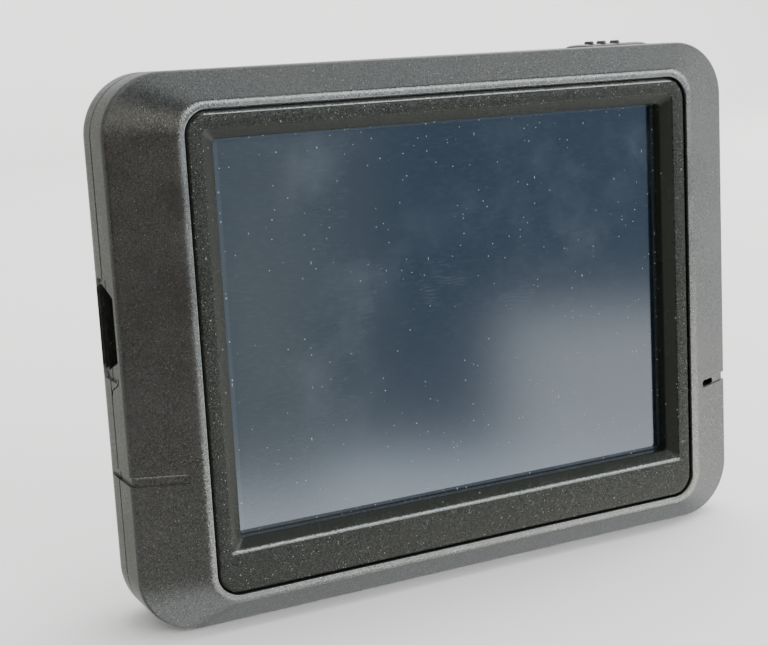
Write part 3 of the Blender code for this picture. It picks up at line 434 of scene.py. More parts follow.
def metallic_paint(name, dark, light, flake, roughness, metallic, sparkle, tilt=0.1, specular=0.5):
    """Plastic with a fine metal-flake finish, a slight grain and faint handling marks.

    Returns the material, its tree and its shader. sparkle is how far the flakes show, and tilt how far
    they lean, in radians."""
    material, tree, shader = new_material(name, dark, roughness, metallic, Specular_IOR_Level=specular)
    where = place(tree)
    grain = remap(tree, noise(tree, 5600.0, 2.0, where=where), 0.3, 0.7)
    cloud = remap(tree, noise(tree, 60.0, 4.0, where=where), 0.35, 0.65)
    body = blend_colour(tree, grain, dark, light)
    body = blend_colour(tree, product(tree, cloud, 0.15), body, light)
    small = product(tree, specks(tree, where, 9000.0, 0.3, 0.6), 0.25 * sparkle)
    large = product(tree, specks(tree, where, 5600.0, 0.03, 0.5), sparkle)
    shine = math_node(tree, "MAXIMUM", small, large)
    link(tree, blend_colour(tree, shine, body, flake), shader, "Base Color")
    handled = noise(tree, 120.0, 4.0, where=where)
    link(tree, remap(tree, handled, 0.4, 0.7, roughness - 0.02, roughness + 0.05), shader, "Roughness")
    bump(tree, shader, grain, 0.006, 0.3, onto=tilted_flakes(tree, where, 8200.0, tilt))
    return material, tree, shader


def case_material():
    """Grey metallic paint, satin and finely grained."""
    dark, light, flake = (0.052, 0.055, 0.053), (0.118, 0.122, 0.119), (0.4, 0.41, 0.4)
    look = {"roughness": 0.26, "metallic": 0.88, "sparkle": 0.55, "tilt": 0.12}
    return metallic_paint("case_grey", dark, light, flake, **look)[0]


def surround_material():
    """Dark plastic: a faint sparkle on its face, plain on its bevel, with some dust, and a painted
    highlight, paler and fully metallic, along its upper rim and below the window."""
    dark, light, flake = (0.003, 0.0038, 0.0026), (0.0095, 0.011, 0.0085), (0.19, 0.205, 0.175)
    metallic = 0.06
    look = {"roughness": 0.27, "metallic": metallic, "sparkle": 0.9, "tilt": 0.2, "specular": 0.16}
    material, tree, shader = metallic_paint("surround_black", dark, light, flake, **look)
    where = place(tree)
    x, y, z = add(tree, "SeparateXYZ", {0: where}).outputs
    # Painted highlight: a band along the window's lower edge and one along the upper rim get a paler,
    # fully metallic colour.
    off_edge = math_node(tree, "ABSOLUTE", math_node(tree, "SUBTRACT", z, BEVEL_EDGE[1] * MM))
    end = BEVEL_EDGE[0] * MM
    inside = remap(tree, math_node(tree, "ABSOLUTE", x), end - 0.15 * MM, end + 0.25 * MM, 1.0, 0.0)
    lower_edge = product(tree, inside, remap(tree, off_edge, 0.2 * MM, 0.3 * MM, 1.0, 0.0))
    rim = (SURROUND[2] - 0.62) * MM
    upper_edge = remap(tree, z, rim, rim + 0.08 * MM)
    painted_highlight = math_node(tree, "MAXIMUM", lower_edge, upper_edge)
    link(tree, remap(tree, painted_highlight, 0.0, 1.0, metallic, 1.0), shader, "Metallic")
    painted = shader.inputs["Base Color"].links[0].from_socket
    face = (SURROUND_DEPTH + FRONT_Y) * MM
    sloping = remap(tree, y, face + 0.06 * MM, face + 0.14 * MM)
    uneven = noise(tree, 900.0, where=where)
    plain = blend_colour(tree, uneven, (0.0125, 0.0148, 0.012), (0.0145, 0.0168, 0.0138))
    painted = blend_colour(tree, sloping, painted, plain)
    dust = product(tree, specks(tree, where, 1300.0, 0.06, 0.2), 0.35)
    painted = blend_colour(tree, dust, painted, (0.4, 0.4, 0.37))
    # The painted highlight's paler colour on those bands.
    link(tree, blend_colour(tree, painted_highlight, painted, (0.1, 0.105, 0.1)), shader, "Base Color")
    return material


def screen_material():
    """Touch sheet over a dark panel: smears, finger marks, wipe marks, dust, a paler border and a painted
    reflection, a greyish haze that grows towards the left.
    """
    dark, blue, haze = (0.002, 0.004, 0.006), (0.003, 0.006, 0.01), (0.06, 0.072, 0.08)
    constants = {"IOR": 1.6, "Specular_Tint": (0.82, 0.95, 1.15, 1.0)}
    material, tree, shader = new_material("touch_film", dark, 0.12, **constants)
    where = place(tree)
    clouds = noise(tree, 46.0, 6.0, 0.62, where)
    wide = noise(tree, 17.0, 3.0, 0.5, where)
    smear = product(tree, remap(tree, clouds, 0.48, 0.72), remap(tree, wide, 0.38, 0.62))
    base = blend_colour(tree, remap(tree, wide, 0.35, 0.7), dark, blue)
    base = blend_colour(tree, product(tree, smear, 0.4), base, haze)

    rings = {"Scale": 700.0, "Distortion": 9.0, "Detail": 2.0, "Detail Scale": 0.5, "Vector": where}
    ridges = add(tree, "TexWave", rings, wave_type="RINGS").outputs["Fac"]
    ragged = remap(tree, noise(tree, 260.0, 3.0, where=where), 0.42, 0.6)
    patches = product(tree, specks(tree, where, 85.0, 0.35, 0.4), ragged)
    prints = product(tree, product(tree, remap(tree, ridges, 0.35, 0.75), patches), 0.06)
    base = blend_colour(tree, prints, base, (0.14, 0.155, 0.165))

    # Painted reflection: a greyish haze in the base colour that grows towards the left.
    leftward = remap(tree, add(tree, "SeparateXYZ", {0: where}).outputs[0], 0.0, -PICTURE_HALF_X * MM)
    painted_reflection = product(tree, leftward, remap(tree, wide, 0.3, 0.7, 0.12, 0.3))
    base = blend_colour(tree, painted_reflection, base, (0.1, 0.103, 0.08))
    across = mapped(tree, where, (0.0, 0.06, 0.0), (0.25, 1.0, 1.0))
    wiped = remap(tree, noise(tree, 2600.0, 3.0, 0.6, across), 0.45, 0.75)
    base = blend_colour(tree, product(tree, wiped, 0.08), base, (0.09, 0.105, 0.11))
    border = screen_border(tree, where)
    base = blend_colour(tree, product(tree, border, 0.3), base, (0.055, 0.066, 0.07))

    fibres = specks(tree, mapped(tree, where, (0.0, 0.6, 0.0), (5.0, 1.0, 1.0)), 300.0, 0.12, 0.09)
    edge_dust = product(tree, border, specks(tree, where, 2100.0, 0.3, 0.3))
    dust = math_node(tree, "MAXIMUM", fibres, edge_dust)
    grains = ((420.0, 0.1, 0.05), (850.0, 0.16, 0.09), (1500.0, 0.16, 0.14), (210.0, 0.05, 0.035))
    for scale, share, size in grains:
        dust = math_node(tree, "MAXIMUM", dust, specks(tree, where, scale, share, size))
    base = blend_colour(tree, product(tree, dust, 0.5), base, (0.4, 0.42, 0.4))
    link(tree, base, shader, "Base Color")

    rough = math_node(tree, "ADD", product(tree, smear, 0.07), 0.11)
    for marks, share in ((prints, 0.8), (dust, 0.4)):
        rough = math_node(tree, "ADD", rough, product(tree, marks, share))
    link(tree, rough, shader, "Roughness")
    bump(tree, shader, noise(tree, 1500.0, 2.0, where=where), 0.002, 0.3)
    return material


def screen_border(tree, where):
    """1 outside the part of the panel that shows a picture."""
    x, _, z = add(tree, "SeparateXYZ", {0: where}).outputs
    outside = []
    for value, middle, half in ((x, PICTURE_X, PICTURE_HALF_X), (z, PICTURE_Z, PICTURE_HALF_Z)):
        reach = math_node(tree, "ABSOLUTE", math_node(tree, "SUBTRACT", value, middle * MM))
        outside.append(remap(tree, reach, (half - 0.1) * MM, (half + 0.1) * MM))
    return math_node(tree, "MAXIMUM", *outside)


def speckled(name, first, second, scale, roughness, metallic=0.0, depth=0.01, stretch=None):
    """Two close colours mixed by noise, with matching roughness and relief. stretch scales each axis."""
    material, tree, shader = new_material(name, first, roughness, metallic)
    where = place(tree)
    if stretch:
        where = mapped(tree, where, scale=stretch)
    fine = noise(tree, scale, 4.0, 0.6, where)
    link(tree, blend_colour(tree, remap(tree, fine, 0.3, 0.7), first, second), shader, "Base Color")
    link(tree, remap(tree, fine, 0.2, 0.8, roughness - 0.06, roughness + 0.08), shader, "Roughness")
    bump(tree, shader, fine, depth, 0.6)
    return material


def board_material():
    """Green solder mask over copper tracks, with rows of tinned pads."""
    material, tree, shader = new_material("solder_mask", (0.012, 0.1, 0.045), 0.32)
    where = place(tree)
    facing = mapped(tree, where, (math.radians(90), 0.0, 0.0))
    tracks = add(tree, "TexBrick", {"Scale": 300.0, "Mortar Size": 0.05, "Vector": facing}).outputs["Fac"]
    uneven = remap(tree, noise(tree, 90.0, where=where), 0.4, 0.6)
    tone = blend_colour(tree, uneven, (0.01, 0.085, 0.035), (0.014, 0.12, 0.055))
    tone = blend_colour(tree, product(tree, tracks, 0.6), tone, (0.03, 0.2, 0.1))
    pick, reach = cells(tree, 650.0, where)
    pads = product(tree, remap(tree, pick, 0.9, 0.92), remap(tree, reach, 0.32, 0.26))
    link(tree, blend_colour(tree, pads, tone, (0.62, 0.6, 0.55)), shader, "Base Color")
    link(tree, pads, shader, "Metallic")
    bump(tree, shader, math_node(tree, "MAXIMUM", tracks, pads), 0.03, 0.5)
    return material


def cloth_material():
    """Fine black dust cloth with a visible weave."""
    material, tree, shader = new_material("cloth", (0.02, 0.02, 0.02), 0.85, 0.0, Sheen_Weight=0.2)
    x, _, z = add(tree, "SeparateXYZ", {0: place(tree)}).outputs
    threads = [math_node(tree, "SINE", product(tree, value, 14000.0)) for value in (x, z)]
    shade = remap(tree, math_node(tree, "MAXIMUM", *threads), -0.4, 1.0)
    link(tree, blend_colour(tree, shade, (0.008, 0.008, 0.008), (0.05, 0.05, 0.05)), shader, "Base Color")
    bump(tree, shader, shade, 0.05, 0.8)
    return material


# Plainer materials: first colour, second colour, grain (per metre), roughness, and any other argument
PLAIN_MATERIALS = {
    "lcd_glass": ((0.03, 0.035, 0.045), (0.05, 0.055, 0.07), 300.0, 0.14, {}),
    "foam": ((0.012, 0.012, 0.012), (0.05, 0.05, 0.05), 2500.0, 0.92, {"depth": 0.08}),
    "white_plastic": ((0.72, 0.72, 0.69), (0.8, 0.8, 0.78), 900.0, 0.48, {}),
    "sheet_steel": (
        (0.5, 0.5, 0.48),
        (0.66, 0.66, 0.64),
        1400.0,
        0.34,
        {"metallic": 1.0, "depth": 0.006, "stretch": (1.0, 1.0, 14.0)},
    ),
    "ceramic": ((0.62, 0.58, 0.48), (0.76, 0.72, 0.62), 1800.0, 0.62, {"depth": 0.02}),
    "battery_wrap": ((0.06, 0.11, 0.24), (0.11, 0.18, 0.34), 160.0, 0.36, {"depth": 0.06}),
    "black_plastic": ((0.014, 0.014, 0.015), (0.035, 0.035, 0.036), 2200.0, 0.5, {}),
    "magnet": ((0.24, 0.24, 0.25), (0.4, 0.4, 0.41), 700.0, 0.32, {"metallic": 1.0}),
    "cone_paper": ((0.03, 0.03, 0.03), (0.08, 0.08, 0.08), 1200.0, 0.7, {"depth": 0.02}),
    "rubber": ((0.02, 0.02, 0.02), (0.04, 0.04, 0.04), 2800.0, 0.82, {"depth": 0.015}),
    "label": ((0.36, 0.37, 0.37), (0.46, 0.47, 0.47), 2400.0, 0.42, {"metallic": 0.55, "depth": 0.004}),
    "polyimide": ((0.45, 0.2, 0.04), (0.62, 0.31, 0.08), 500.0, 0.34, {"stretch": (9.0, 1.0, 1.0)}),
    "red_wire": ((0.45, 0.02, 0.015), (0.6, 0.04, 0.03), 1500.0, 0.42, {}),
    "black_wire": ((0.012, 0.012, 0.012), (0.03, 0.03, 0.03), 1500.0, 0.42, {}),
    "screw_steel": ((0.05, 0.05, 0.055), (0.12, 0.12, 0.125), 1600.0, 0.36, {"metallic": 1.0}),
}


def build_materials():
    """One material for each of the record's slots, by name."""
    materials = {
        "case_grey": case_material(),
        "surround_black": surround_material(),
        "screen_film": screen_material(),
        "solder_mask": board_material(),
        "cloth": cloth_material(),
    }
    for name, (first, second, grain, roughness, others) in PLAIN_MATERIALS.items():
        materials[name] = speckled(name, first, second, grain, roughness, **others)
    return materials


# ---------------------------------------------------------------- case shells
def case_ring(side, end, radius, depth, steps=28):
    """The case's outline drawn in by side and end."""
    return rounded_ring(HALF - side, end, HEIGHT - end, radius, depth, steps)


def slope_depth(x):
    """The depth of the front slope at x."""
    return EDGE_DEPTH * (x - (HALF - RIM_INSET_SIDE)) / RIM_INSET_SIDE


def groove_cutter(name, side, steps=8):
    """A bar with a rounded inner end that bends round the edge of the case. Its upper wall slants."""
    proud = 1.0
    half = (GROOVE_HIGH - GROOVE_LOW) / 2
    rings = []
    for step in range(steps + 1):
        angle = math.radians(180 * step / steps - 90)
        z = GROOVE_LOW + half + half * math.sin(angle)
        start_x = GROOVE_INNER_X + GROOVE_ROUNDING * (1 - math.cos(angle))
        deep = GROOVE_DEPTH
        if angle > 0:
            deep = min(GROOVE_DEPTH, 0.1 + 1.3 * GROOVE_DEPTH * math.cos(angle))
        inner = softened(
            (
                ((start_x, slope_depth(start_x) + deep), 0.0),
                ((HALF - deep, EDGE_DEPTH + deep * 0.6), 0.8),
                ((HALF - deep, GROOVE_BACK), 0.0),
            )
        )
        outer = (
            (HALF + proud, GROOVE_BACK + 0.6),
            (HALF + proud, EDGE_DEPTH - proud),
            (start_x - 0.3, slope_depth(start_x) - proud),
        )
        rings.append([at(side * x, depth, z) for x, depth in (*inner, *outer)])
    return loft(name, rings, smooth=False)


def recess_outline(shrink):
    """(depth, z) points of the port's outer edge: eight sides."""
    reach = PORT_HALF_DEPTH - 0.6 * shrink
    top = PORT_HALF_Z - shrink
    corner = top - 1.3
    return mirrored(((reach, corner), (reach - 1.2, top), (1.2 - reach, top), (-reach, corner)))


def plug_outline(shrink):
    """(depth, z) points of the port's inner steps, which narrow towards the display as a plug does."""
    upper = ((3.2, 5.2), (2.8, 5.7), (-2.7, 3.9), (-3.25, 3.3))
    return mirrored([(depth - math.copysign(0.5 * shrink, depth), z - shrink) for depth, z in upper])


def mirrored(upper):
    """A closed outline: upper's points, then the same ones below the middle and farther from it."""
    return [*upper, *((depth, -PORT_DROP * z) for depth, z in reversed(upper))]


def port_cutter(name):
    """The port's recess, two narrower steps and the way in to the socket."""
    first, second = HALF - 0.35, HALF - 0.8
    steps = (
        (HALF + 1.0, recess_outline(-0.15)),
        (first, recess_outline(0.05)),
        (first, plug_outline(0.0)),
        (second, plug_outline(0.05)),
        (second, plug_outline(0.3)),
        (PORT_FLOOR_X, plug_outline(0.5)),
    )
    rings = [[at(-x, SEAM + depth, PORT_MIDDLE_Z + z) for depth, z in outline] for x, outline in steps]
    return loft(name, rings, smooth=False)


def seam_bend(name):
    """A fine groove: the shells' joint bends from the port's lower front corner back to the seam."""
    half_width, floor = 0.2, 0.6
    path = ((-3.3, -6.0), (-3.2, -6.7), (-2.6, -7.3), (-1.2, -7.8), (-0.4, -8.2), (0.05, -9.0))
    rings = []
    for depth, z in path:
        section = ((HALF + 0.5, -1), (HALF - floor, -1), (HALF - floor, 1), (HALF + 0.5, 1))
        rings.append([at(-x, SEAM + depth + side * half_width, PORT_Z + z) for x, side in section])
    return loft(name, rings, smooth=False)


def through_cutters():
    """The tools that cut both half shells."""
    socket_low, socket_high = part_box("usb_shell")
    clearance = 0.2
    middle = (socket_low + socket_high) / 2 / MM
    reach = (socket_high - socket_low) / 2 / MM
    depths = around(middle.y - FRONT_Y, reach.y + clearance)
    zs = around(PORT_Z, reach.z + clearance)
    slot = stadium(SLIDER_SLOT)
    slider = [[at(SLIDER_X + u, SEAM + v, HEIGHT + rise) for u, v in slot] for rise in (-3.0, 3.0)]
    return [
        port_cutter("tool_port"),
        cube("tool_socket", (-PORT_FLOOR_X - 1, 2 - PORT_FLOOR_X), depths, zs),
        groove_cutter("tool_groove_left", -1),
        groove_cutter("tool_groove_right", 1),
        loft("tool_slider_slot", slider, smooth=False),
    ]


def front_bezel(material):
    """The front half shell: the rim, the slopes, and its part of the port, the slot and the grooves."""
    path = softened(
        (
            ((OPENING_INSET_SIDE, OPENING_INSET_END, 3.3, 1.75), 0.0),
            ((OPENING_INSET_SIDE, OPENING_INSET_END, 3.3, 0.0), 0.32),
            ((RIM_INSET_SIDE, RIM_INSET_END, 4.3, 0.0), 0.8),
            ((0.0, 0.0, CORNER, EDGE_DEPTH), 0.85),
            ((0.0, 0.0, CORNER, SEAM), 0.1),
            ((WALL, WALL, CORNER - WALL, SEAM), 0.0),
            ((WALL, WALL, CORNER - WALL, 5.3), 0.0),
            ((7.7, 3.4, 4.8, 1.95), 0.0),
        )
    )
    shell = loft("front_bezel_shell", [case_ring(*entry) for entry in path], material, closed=True)
    block_zs = around(PORT_Z, PORT_BLOCK_HALF_Z)
    block = cube("tool_block_front", PORT_BLOCK_XS, (4.0, SEAM - 0.1), block_zs)
    bosses = []
    pilots = []
    for side in (-1, 1):
        for z in SCREW_ZS:
            x = side * SCREW_X
            bosses.append(rod("tool_boss", x, z, BOSS_RADIUS, (2.6, SEAM - 0.2), steps=24))
            pilots.append(rod("tool_pilot", x, z, PILOT_RADIUS, (4.6, SEAM + 1.0), steps=16))
    mic = slot_cutter("tool_mic", (2.9, 0.9), MIC_X, MIC_Z, (-1.0, 5.0))
    bend = seam_bend("tool_bend")
    shared = through_cutters()
    finish_shell(shell, [block, *bosses], [mic, bend, *pilots, *shared])
    drop(block, *bosses, mic, bend, *pilots, *shared)
    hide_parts("front_bezel")
    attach(shell, "case")


def back_rings(inward, steps=22):
    """Rings of the rear shell's outer or inner surface, from the seam to the back."""

    def arc(depth, start, reach):
        """How far the curve has drawn in at depth, when it starts at start and ends at reach."""
        share = (depth - start) / (THICKNESS - inward - start)
        return reach - (reach - inward) * math.sqrt(1 - min(max(share, 0.0), 1.0) ** 2)

    run = THICKNESS - inward - CURVE_START_SIDE
    depths = [REAR_START] if inward else [REAR_START, REAR_START + 0.1]
    turns = [math.radians(90 * step / steps) for step in range(steps + 1)]
    depths += [CURVE_START_SIDE + run * math.sin(turn) for turn in turns]
    rings = []
    for number, depth in enumerate(depths):
        side = arc(depth, CURVE_START_SIDE, CURVE_INSET_SIDE)
        end = arc(depth, CURVE_START_END, CURVE_INSET_END)
        if number == 0 and not inward:
            side, end = side + 0.08, end + 0.08
        rings.append(case_ring(side, end, CORNER - inward, depth))
    return rings


def rear_housing(material):
    """The rear half shell: the curved back with its grille, label bed, screw holes and cradle slots."""
    shell = loft("rear_housing_shell", back_rings(0.0)[::-1] + back_rings(WALL), material)
    port_zs = around(PORT_Z, PORT_BLOCK_HALF_Z)
    foot_zs = (1.0, CRADLE_BITE + 2.0)
    latch_zs = (HEIGHT - CRADLE_BITE - 2.0, HEIGHT - 1.0)
    joined = [
        cube("tool_block_rear", PORT_BLOCK_XS, (REAR_START + 0.1, 13.8), port_zs),
        cube("tool_foot_block", around(0.0, FOOT_HALF_X + 1.5), CRADLE_BLOCK_DEPTHS, foot_zs),
        cube("tool_latch_block", around(0.0, LATCH_HALF_X + 1.5), CRADLE_BLOCK_DEPTHS, latch_zs),
    ]
    label_depths = (LABEL_LOW.y / MM - FRONT_Y - 0.06, THICKNESS + 1)
    label_xs = (LABEL_LOW.x / MM - 0.2, LABEL_HIGH.x / MM + 0.2)
    label_zs = (LABEL_LOW.z / MM - 0.2, LABEL_HIGH.z / MM + 0.2)
    card_zs = around(CARD_Z, CARD_HALF_Z + 0.2)
    latch_slot_zs = (HEIGHT - CRADLE_BITE, HEIGHT + 1.0)
    removed = [
        cube("tool_card", (HALF - 3, HALF + 1), (SEAM, CARD_BACK), card_zs),
        cube("tool_foot", around(0.0, FOOT_HALF_X), CRADLE_DEPTHS, (-1.0, CRADLE_BITE)),
        cube("tool_latch", around(0.0, LATCH_HALF_X), CRADLE_DEPTHS, latch_slot_zs),
        cube("tool_label", label_xs, label_depths, label_zs, rounding=1.0, axis=1, segments=6),
        finger_scoop(),
    ]
    for side in (-1, 1):
        for z in SCREW_ZS:
            x = side * SCREW_X
            joined.append(rod("tool_post", x, z, POST_RADIUS, (REAR_START, 17.2)))
            removed.append(rod("tool_head", x, z, HEAD_HOLE_RADIUS, (SCREW_SEAT, THICKNESS)))
            shank_depths = (SEAM - 1, SCREW_SEAT + 1)
            removed.append(rod("tool_shank", x, z, SHANK_HOLE_RADIUS, shank_depths, steps=16))
    for row in range(-3, 4):
        rise = row * 2.6
        size = (2 * math.sqrt(GRILLE_RADIUS**2 - rise**2), 1.2)
        removed.append(slot_cutter("tool_grille", size, 0.0, SPEAKER_Z + rise, (17.5, 21.3)))
    removed += through_cutters()
    finish_shell(shell, joined, removed, angle=32)
    drop(*joined, *removed)
    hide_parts("rear_housing")
    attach(shell, "case")


def finger_scoop():
    """An egg that bites out of the edge behind the card slot, so that a fingertip reaches the card."""
    radius, bite = 9.0, 1.1
    bm = bmesh.new()
    bmesh.ops.create_uvsphere(bm, u_segments=96, v_segments=48, radius=radius * MM)
    bmesh.ops.scale(bm, vec=(1.0, 0.5, 1.3), verts=bm.verts)
    bmesh.ops.translate(bm, vec=at(HALF + radius - bite, CARD_BACK + 0.7, CARD_Z), verts=bm.verts)
    return make_object("tool_scoop", bm)


# ---------------------------------------------------------------- display surround
def grown(outline, amount):
    """A (half width, bottom, top) outline that reaches farther on every side."""
    half, bottom, top = outline
    return half + amount, bottom - amount, top + amount


def display_surround(material):
    """The black frame: a face, a bevel down to the window, a pocket for the panel and a hidden flange."""
    face = (SURROUND[0] - 0.2, SURROUND[1] + 0.15, SURROUND[2] - 0.45)
    path = softened(
        (
            ((*SURROUND, 3.1, 2.1), 0.0),
            ((*SURROUND, 3.1, SURROUND_DEPTH + 0.3), 0.08),
            ((*face, 2.9, SURROUND_DEPTH), 0.6),
            ((*BEVEL_EDGE, 1.1, SURROUND_DEPTH), 0.3),
            ((*WINDOW, 0.5, BEVEL_DEPTH), 0.25),
            ((*WINDOW, 0.5, WINDOW_DEPTH), 0.0),
            ((*POCKET, 0.9, WINDOW_DEPTH), 0.0),
            ((*POCKET, 0.9, 6.6), 0.0),
            ((*grown(POCKET, 1.0), 1.9, 6.6), 0.0),
            ((*grown(POCKET, 1.0), 1.9, 3.0), 0.0),
            ((*FLANGE, 3.4, 3.0), 0.0),
            ((*FLANGE, 3.4, 2.1), 0.0),
        ),
        steps=4,
    )
    rings = [rounded_ring(*entry, steps=14) for entry in path]
    piece = loft("display_surround_frame", rings, material, closed=True)
    gate = cube("tool_gate", (18.0, 38.2), (3.15, 7.6), (4.4, 6.9))
    combine(piece, [gate], "DIFFERENCE")
    bake_modifiers(piece)
    drop(gate)
    piece.data.shade_smooth()
    piece.data.set_sharp_from_angle(angle=math.radians(40))
    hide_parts("display_surround")
    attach(piece, "case")


# ---------------------------------------------------------------- power slider
def power_knob(material, dark):
    """The finger piece: a low dome with three ridges, on the flange and fork that the CAD part has."""
    ridge_zs = (SLIDER_DECK - 0.35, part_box("power_knob")[1].z / MM)
    rings = []
    cap_low = HEIGHT - WALL - 0.6
    dome = ((0.0, 0.05), (0.12, 0.14), (0.4, 0.24), (0.9, 0.33), (1.6, SLIDER_DECK - HEIGHT))
    for shrink, z in ((0.0, cap_low), *((shrink, HEIGHT + rise) for shrink, rise in dome)):
        outline = stadium((SLIDER_CAP[0] - 2 * shrink, SLIDER_CAP[1] - 2 * shrink))
        rings.append([at(SLIDER_X + u, SEAM + v, z) for u, v in outline])
    knob = loft("power_knob_cap", rings, material)
    lever_low, lever_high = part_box("switch_lever")
    depths = (lever_low.y / MM - FRONT_Y, lever_high.y / MM - FRONT_Y)
    flange_zs = (HEIGHT - 3.0, HEIGHT - WALL - 0.25)
    parts = [cube("tool_flange", around(SLIDER_X, SLIDER_FLANGE_HALF), around(SEAM, 3.6), flange_zs)]
    for side in (-1, 1):
        xs = sorted((SLIDER_X + side, SLIDER_X + side * 2.5))
        parts.append(cube("tool_prong", xs, depths, (69.0, HEIGHT - 2.6)))
    finish_shell(knob, parts, [], edge=0.1)
    drop(*parts)
    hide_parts("power_knob")
    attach(knob, "knob")
    # The ridges take the darker grey: painted shade for their backlit sides.
    for number, x in enumerate(RIDGE_XS, 1):
        ridge = rounded_bar(f"knob_ridge_{number}", x, SEAM, (0.8, 2.1), ridge_zs, dark)
        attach(ridge, "knob")


def rounded_bar(name, x, depth, size, zs, material):
    """A grip ridge: an oblong across the knob that draws in towards a rounded top. size is its width and
    its length."""
    rings = []
    steps = 6
    for step in range(steps + 1):
        angle = math.radians(90 * step / steps)
        shrink = 0.2 * (1 - math.cos(angle))
        z = zs[0] + (zs[1] - zs[0]) * math.sin(angle)
        length, width = size[1] - 2 * shrink, size[0] - 2 * shrink
        outline = [(v, u) for u, v in stadium((length, width), 8)]
        rings.append([at(x + u, depth + v, z) for u, v in outline])
    return loft(name, rings, material)


# ---------------------------------------------------------------- details
def usb_contacts(gold):
    """Five contacts along the USB tongue."""
    low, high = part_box("usb_tongue")
    xs = (low.x / MM + 0.25, low.x / MM + 3.4)
    middle = (low.y + high.y) / 2 / MM - FRONT_Y
    depths = (middle - 0.52, middle - 0.4)
    for number in range(CONTACT_COUNT):
        z = PORT_Z + (number - (CONTACT_COUNT - 1) / 2) * CONTACT_PITCH
        strip = cube(f"usb_contact_{number + 1}", xs, depths, around(z, 0.2), gold, 0.03)
        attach(strip, "case")


def turned_screw(name, x, z, tip, top, material):
    """A screw that points to the front, with a cross cut into its head. tip and top are depths."""
    seat = top - 1.2
    profile = softened(
        (
            ((0.0, top), 0.0),
            ((HEAD_RADIUS - 0.3, top), 0.2),
            ((HEAD_RADIUS, top - 0.35), 0.2),
            ((HEAD_RADIUS, seat), 0.05),
            ((SHANK_RADIUS, seat), 0.05),
            ((SHANK_RADIUS, tip + 0.8), 0.0),
            ((0.02, tip), 0.0),
        ),
        steps=3,
    )
    steps = 32
    turns = [2 * math.pi * step / steps for step in range(steps)]
    rings = []
    for radius, depth in profile[1:]:
        rings.append([at(x + radius * math.cos(a), depth, z + radius * math.sin(a)) for a in turns])
    screw = loft(name, rings, material)
    long, short = 0.95, 0.16
    cut_depths = (top - 0.6, top + 0.4)
    arms = [
        cube("tool_arm", around(x, long), cut_depths, around(z, short)),
        cube("tool_arm", around(x, short), cut_depths, around(z, long)),
    ]
    combine(screw, arms, "DIFFERENCE")
    bake_modifiers(screw)
    drop(*arms)
    screw.data.set_sharp_from_angle(angle=math.radians(SHARP))
    return screw


def case_screws(material):
    """The four screws in the corner holes at the back."""
    for side, side_name in ((-1, "left"), (1, "right")):
        for z, level_name in zip(SCREW_ZS, ("low", "high")):
            node = f"case_screw_{side_name}_{level_name}"
            tip, top = (corner.y / MM - FRONT_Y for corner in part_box(node))
            screw = turned_screw(f"{node}_turned", side * SCREW_X, z, tip, top, material)
            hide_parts(node)
            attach(screw, "case")


def paint_cad_nodes(materials):
    """Gives every CAD node that still shows its slot's material."""
    for entry in frame["record"]["subparts"]:
        node = frame["nodes"][entry["node"]]
        for material_slot in node.material_slots:
            material_slot.link = "OBJECT"
            material_slot.material = materials[entry["material_slot"]]


# ---------------------------------------------------------------- stage, light and camera
def backdrop():
    """A pale floor that sweeps up into a wall."""
    material, tree, shader = new_material("backdrop", (0.8, 0.8, 0.785), 0.8)
    tone = blend_colour(tree, noise(tree, 3.0), (0.79, 0.79, 0.77), (0.82, 0.82, 0.805))
    link(tree, tone, shader, "Base Color")
    bm = bmesh.new()
    curve = [math.radians(angle) for angle in range(0, 91, 6)]
    bend = [(1.0 + 0.6 * math.sin(a), 0.6 - 0.6 * math.cos(a)) for a in curve]
    profile = [(-4.0, 0.0), *bend, (1.6, 3.0)]
    rows = [[bm.verts.new((x, y, z)) for y, z in profile] for x in (-4.0, 4.0)]
    for i in range(len(profile) - 1):
        bm.faces.new((rows[0][i], rows[1][i], rows[1][i + 1], rows[0][i + 1]))
    floor = make_object("backdrop", bm, material)
    floor.visible_glossy = False


# Room light by direction: (azimuths, elevations, softness, colour), in degrees. Azimuth 0 is ahead of the
# display and 90 is to its right. Each one covers those before it.
ROOM = (
    ((-400, 400), (50, 100), 12, (1.27, 1.31, 1.33)),
    ((40, 140), (20, 58), 9, (1.8, 1.86, 1.88)),
    ((50, 150), (-38, 42), 8, (1.68, 1.71, 1.73)),
    ((-400, -100), (-100, 45), 15, (0.63, 0.63, 0.58)),
    ((-85, 75), (-90, -15), 3, (1.9, 1.93, 1.95)),
    ((38, 68), (-72, -44), 4, (2.8, 2.85, 2.75)),
    ((-85, 3), (-34, -14), 3, (0.85, 0.82, 0.78)),
    ((-70, 3), (7, 27), 4, (1.5, 1.4, 1.2)),
    ((-95, 12), (-16, 8), 4, (0.175, 0.12, 0.105)),
    ((12, 50), (-14.5, 9), 3, (0.74, 0.93, 1.14)),
    ((31.2, 80), (-42, -10.2), 1.2, (5.2, 5.0, 4.6)),
    ((5, 28), (-26, -16.9), 1.4, (6.9, 6.9, 6.6)),
    ((24, 60), (-26, -15.8), 1.3, (7.4, 7.4, 7.1)),
    ((-40, 66), (28, 50), 6, (0.3, 0.31, 0.33)),
    ((5, 62), (3, 29), 2.5, (8.5, 8.6, 8.8)),
)


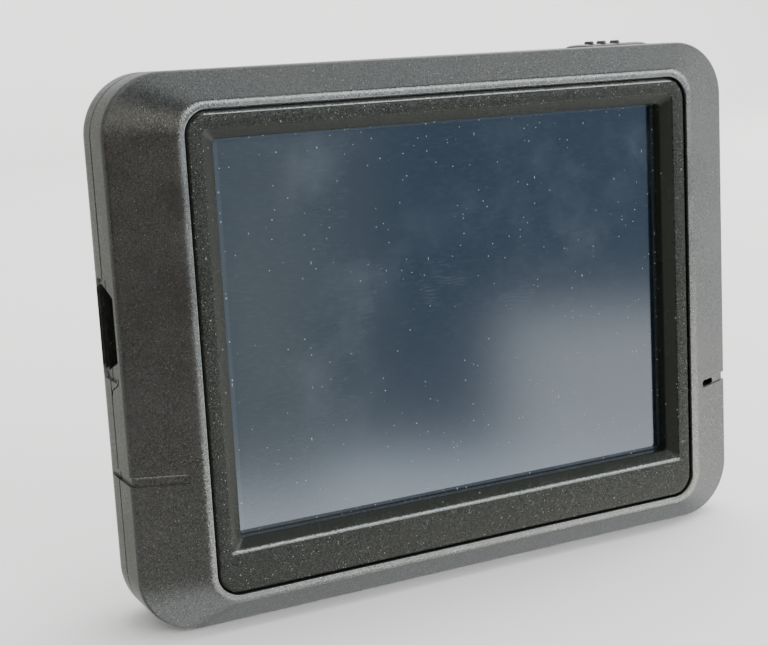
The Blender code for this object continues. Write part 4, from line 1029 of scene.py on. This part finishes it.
def world_light():
    """A soft room, brighter to the right, with a dark side where a photographer would stand."""
    world = bpy.data.worlds.new("room")
    bpy.context.scene.world = world
    world.use_nodes = True
    tree = world.node_tree
    background = tree.nodes["Background"]
    x, y, z = add(tree, "SeparateXYZ", {0: add(tree, "TexCoord").outputs["Generated"]}).outputs
    ahead = product(tree, y, -1.0)
    turn = product(tree, math_node(tree, "ARCTAN2", x, ahead), math.degrees(1))
    rise = product(tree, math_node(tree, "ARCSINE", z), math.degrees(1))

    def within(value, span, soft):
        up = remap(tree, value, span[0] - soft, span[0] + soft)
        down = remap(tree, value, span[1] - soft, span[1] + soft, 1.0, 0.0)
        return product(tree, up, down)

    colour = (0.9, 0.91, 0.93)
    for azimuths, elevations, soft, shade in ROOM:
        inside = product(tree, within(turn, azimuths, soft), within(rise, elevations, soft))
        colour = blend_colour(tree, inside, colour, shade)
    seen = add(tree, "LightPath").outputs["Is Camera Ray"]
    tree.links.new(blend_colour(tree, seen, colour, (2.2, 2.2, 2.15)), background.inputs["Color"])


def area_light(name, position, target, size, power, colour=(1.0, 1.0, 1.0)):
    light = bpy.data.lights.new(name, "AREA")
    light.shape = "RECTANGLE"
    light.size, light.size_y = size
    light.energy = power
    light.color = colour
    obj = bpy.data.objects.new(name, light)
    bpy.context.scene.collection.objects.link(obj)
    obj.location = position
    obj.rotation_euler = (Vector(target) - Vector(position)).to_track_quat("-Z", "Y").to_euler()
    obj.visible_glossy = False


def camera():
    """The photograph's viewpoint: ahead of the display, to its left and level with its top.

    The angles, in degrees, are its heading from +Y towards +X, its rise and its roll."""
    lens = bpy.data.cameras.new("camera")
    lens.sensor_width = 36.0
    lens.lens = 69.89
    lens.shift_x = -0.0070
    lens.shift_y = -0.0169
    lens.clip_start = 0.01
    obj = bpy.data.objects.new("camera", lens)
    bpy.context.scene.collection.objects.link(obj)
    heading, rise, roll = (math.radians(angle) for angle in (26.861, -9.915, -3.052))
    turn = Matrix.Rotation(-heading, 4, "Z")
    turn @= Matrix.Rotation(math.radians(90) + rise, 4, "X")
    turn @= Matrix.Rotation(roll, 4, "Z")
    position = Vector((-0.102631, -0.179041 + FRONT_Y * MM, 0.075616))
    obj.matrix_world = Matrix.Translation(position) @ turn
    bpy.context.scene.camera = obj


def build():
    camera()
    backdrop()
    world_light()
    area_light("overhead", (0.5, 0.3, 1.3), (0.0, 0.2, 0.0), (1.2, 1.2), 21.0)
    area_light("right", (1.3, 0.2, 0.5), (0.2, 0.4, 0.1), (0.8, 0.8), 14.0)
    materials = build_materials()
    paint_cad_nodes(materials)
    # A darker grey for the knob's ridges: painted shade for their backlit sides.
    grip = speckled("ridge_painted_shade", (0.03, 0.031, 0.031), (0.06, 0.06, 0.06), 2400.0, 0.5)
    gold = speckled("gold_contact", (0.75, 0.52, 0.18), (0.85, 0.62, 0.25), 1500.0, 0.25, 1.0)
    front_bezel(materials["case_grey"])
    rear_housing(materials["case_grey"])
    display_surround(materials["surround_black"])
    power_knob(materials["case_grey"], grip)
    usb_contacts(gold)
    case_screws(materials["screw_steel"])


build()
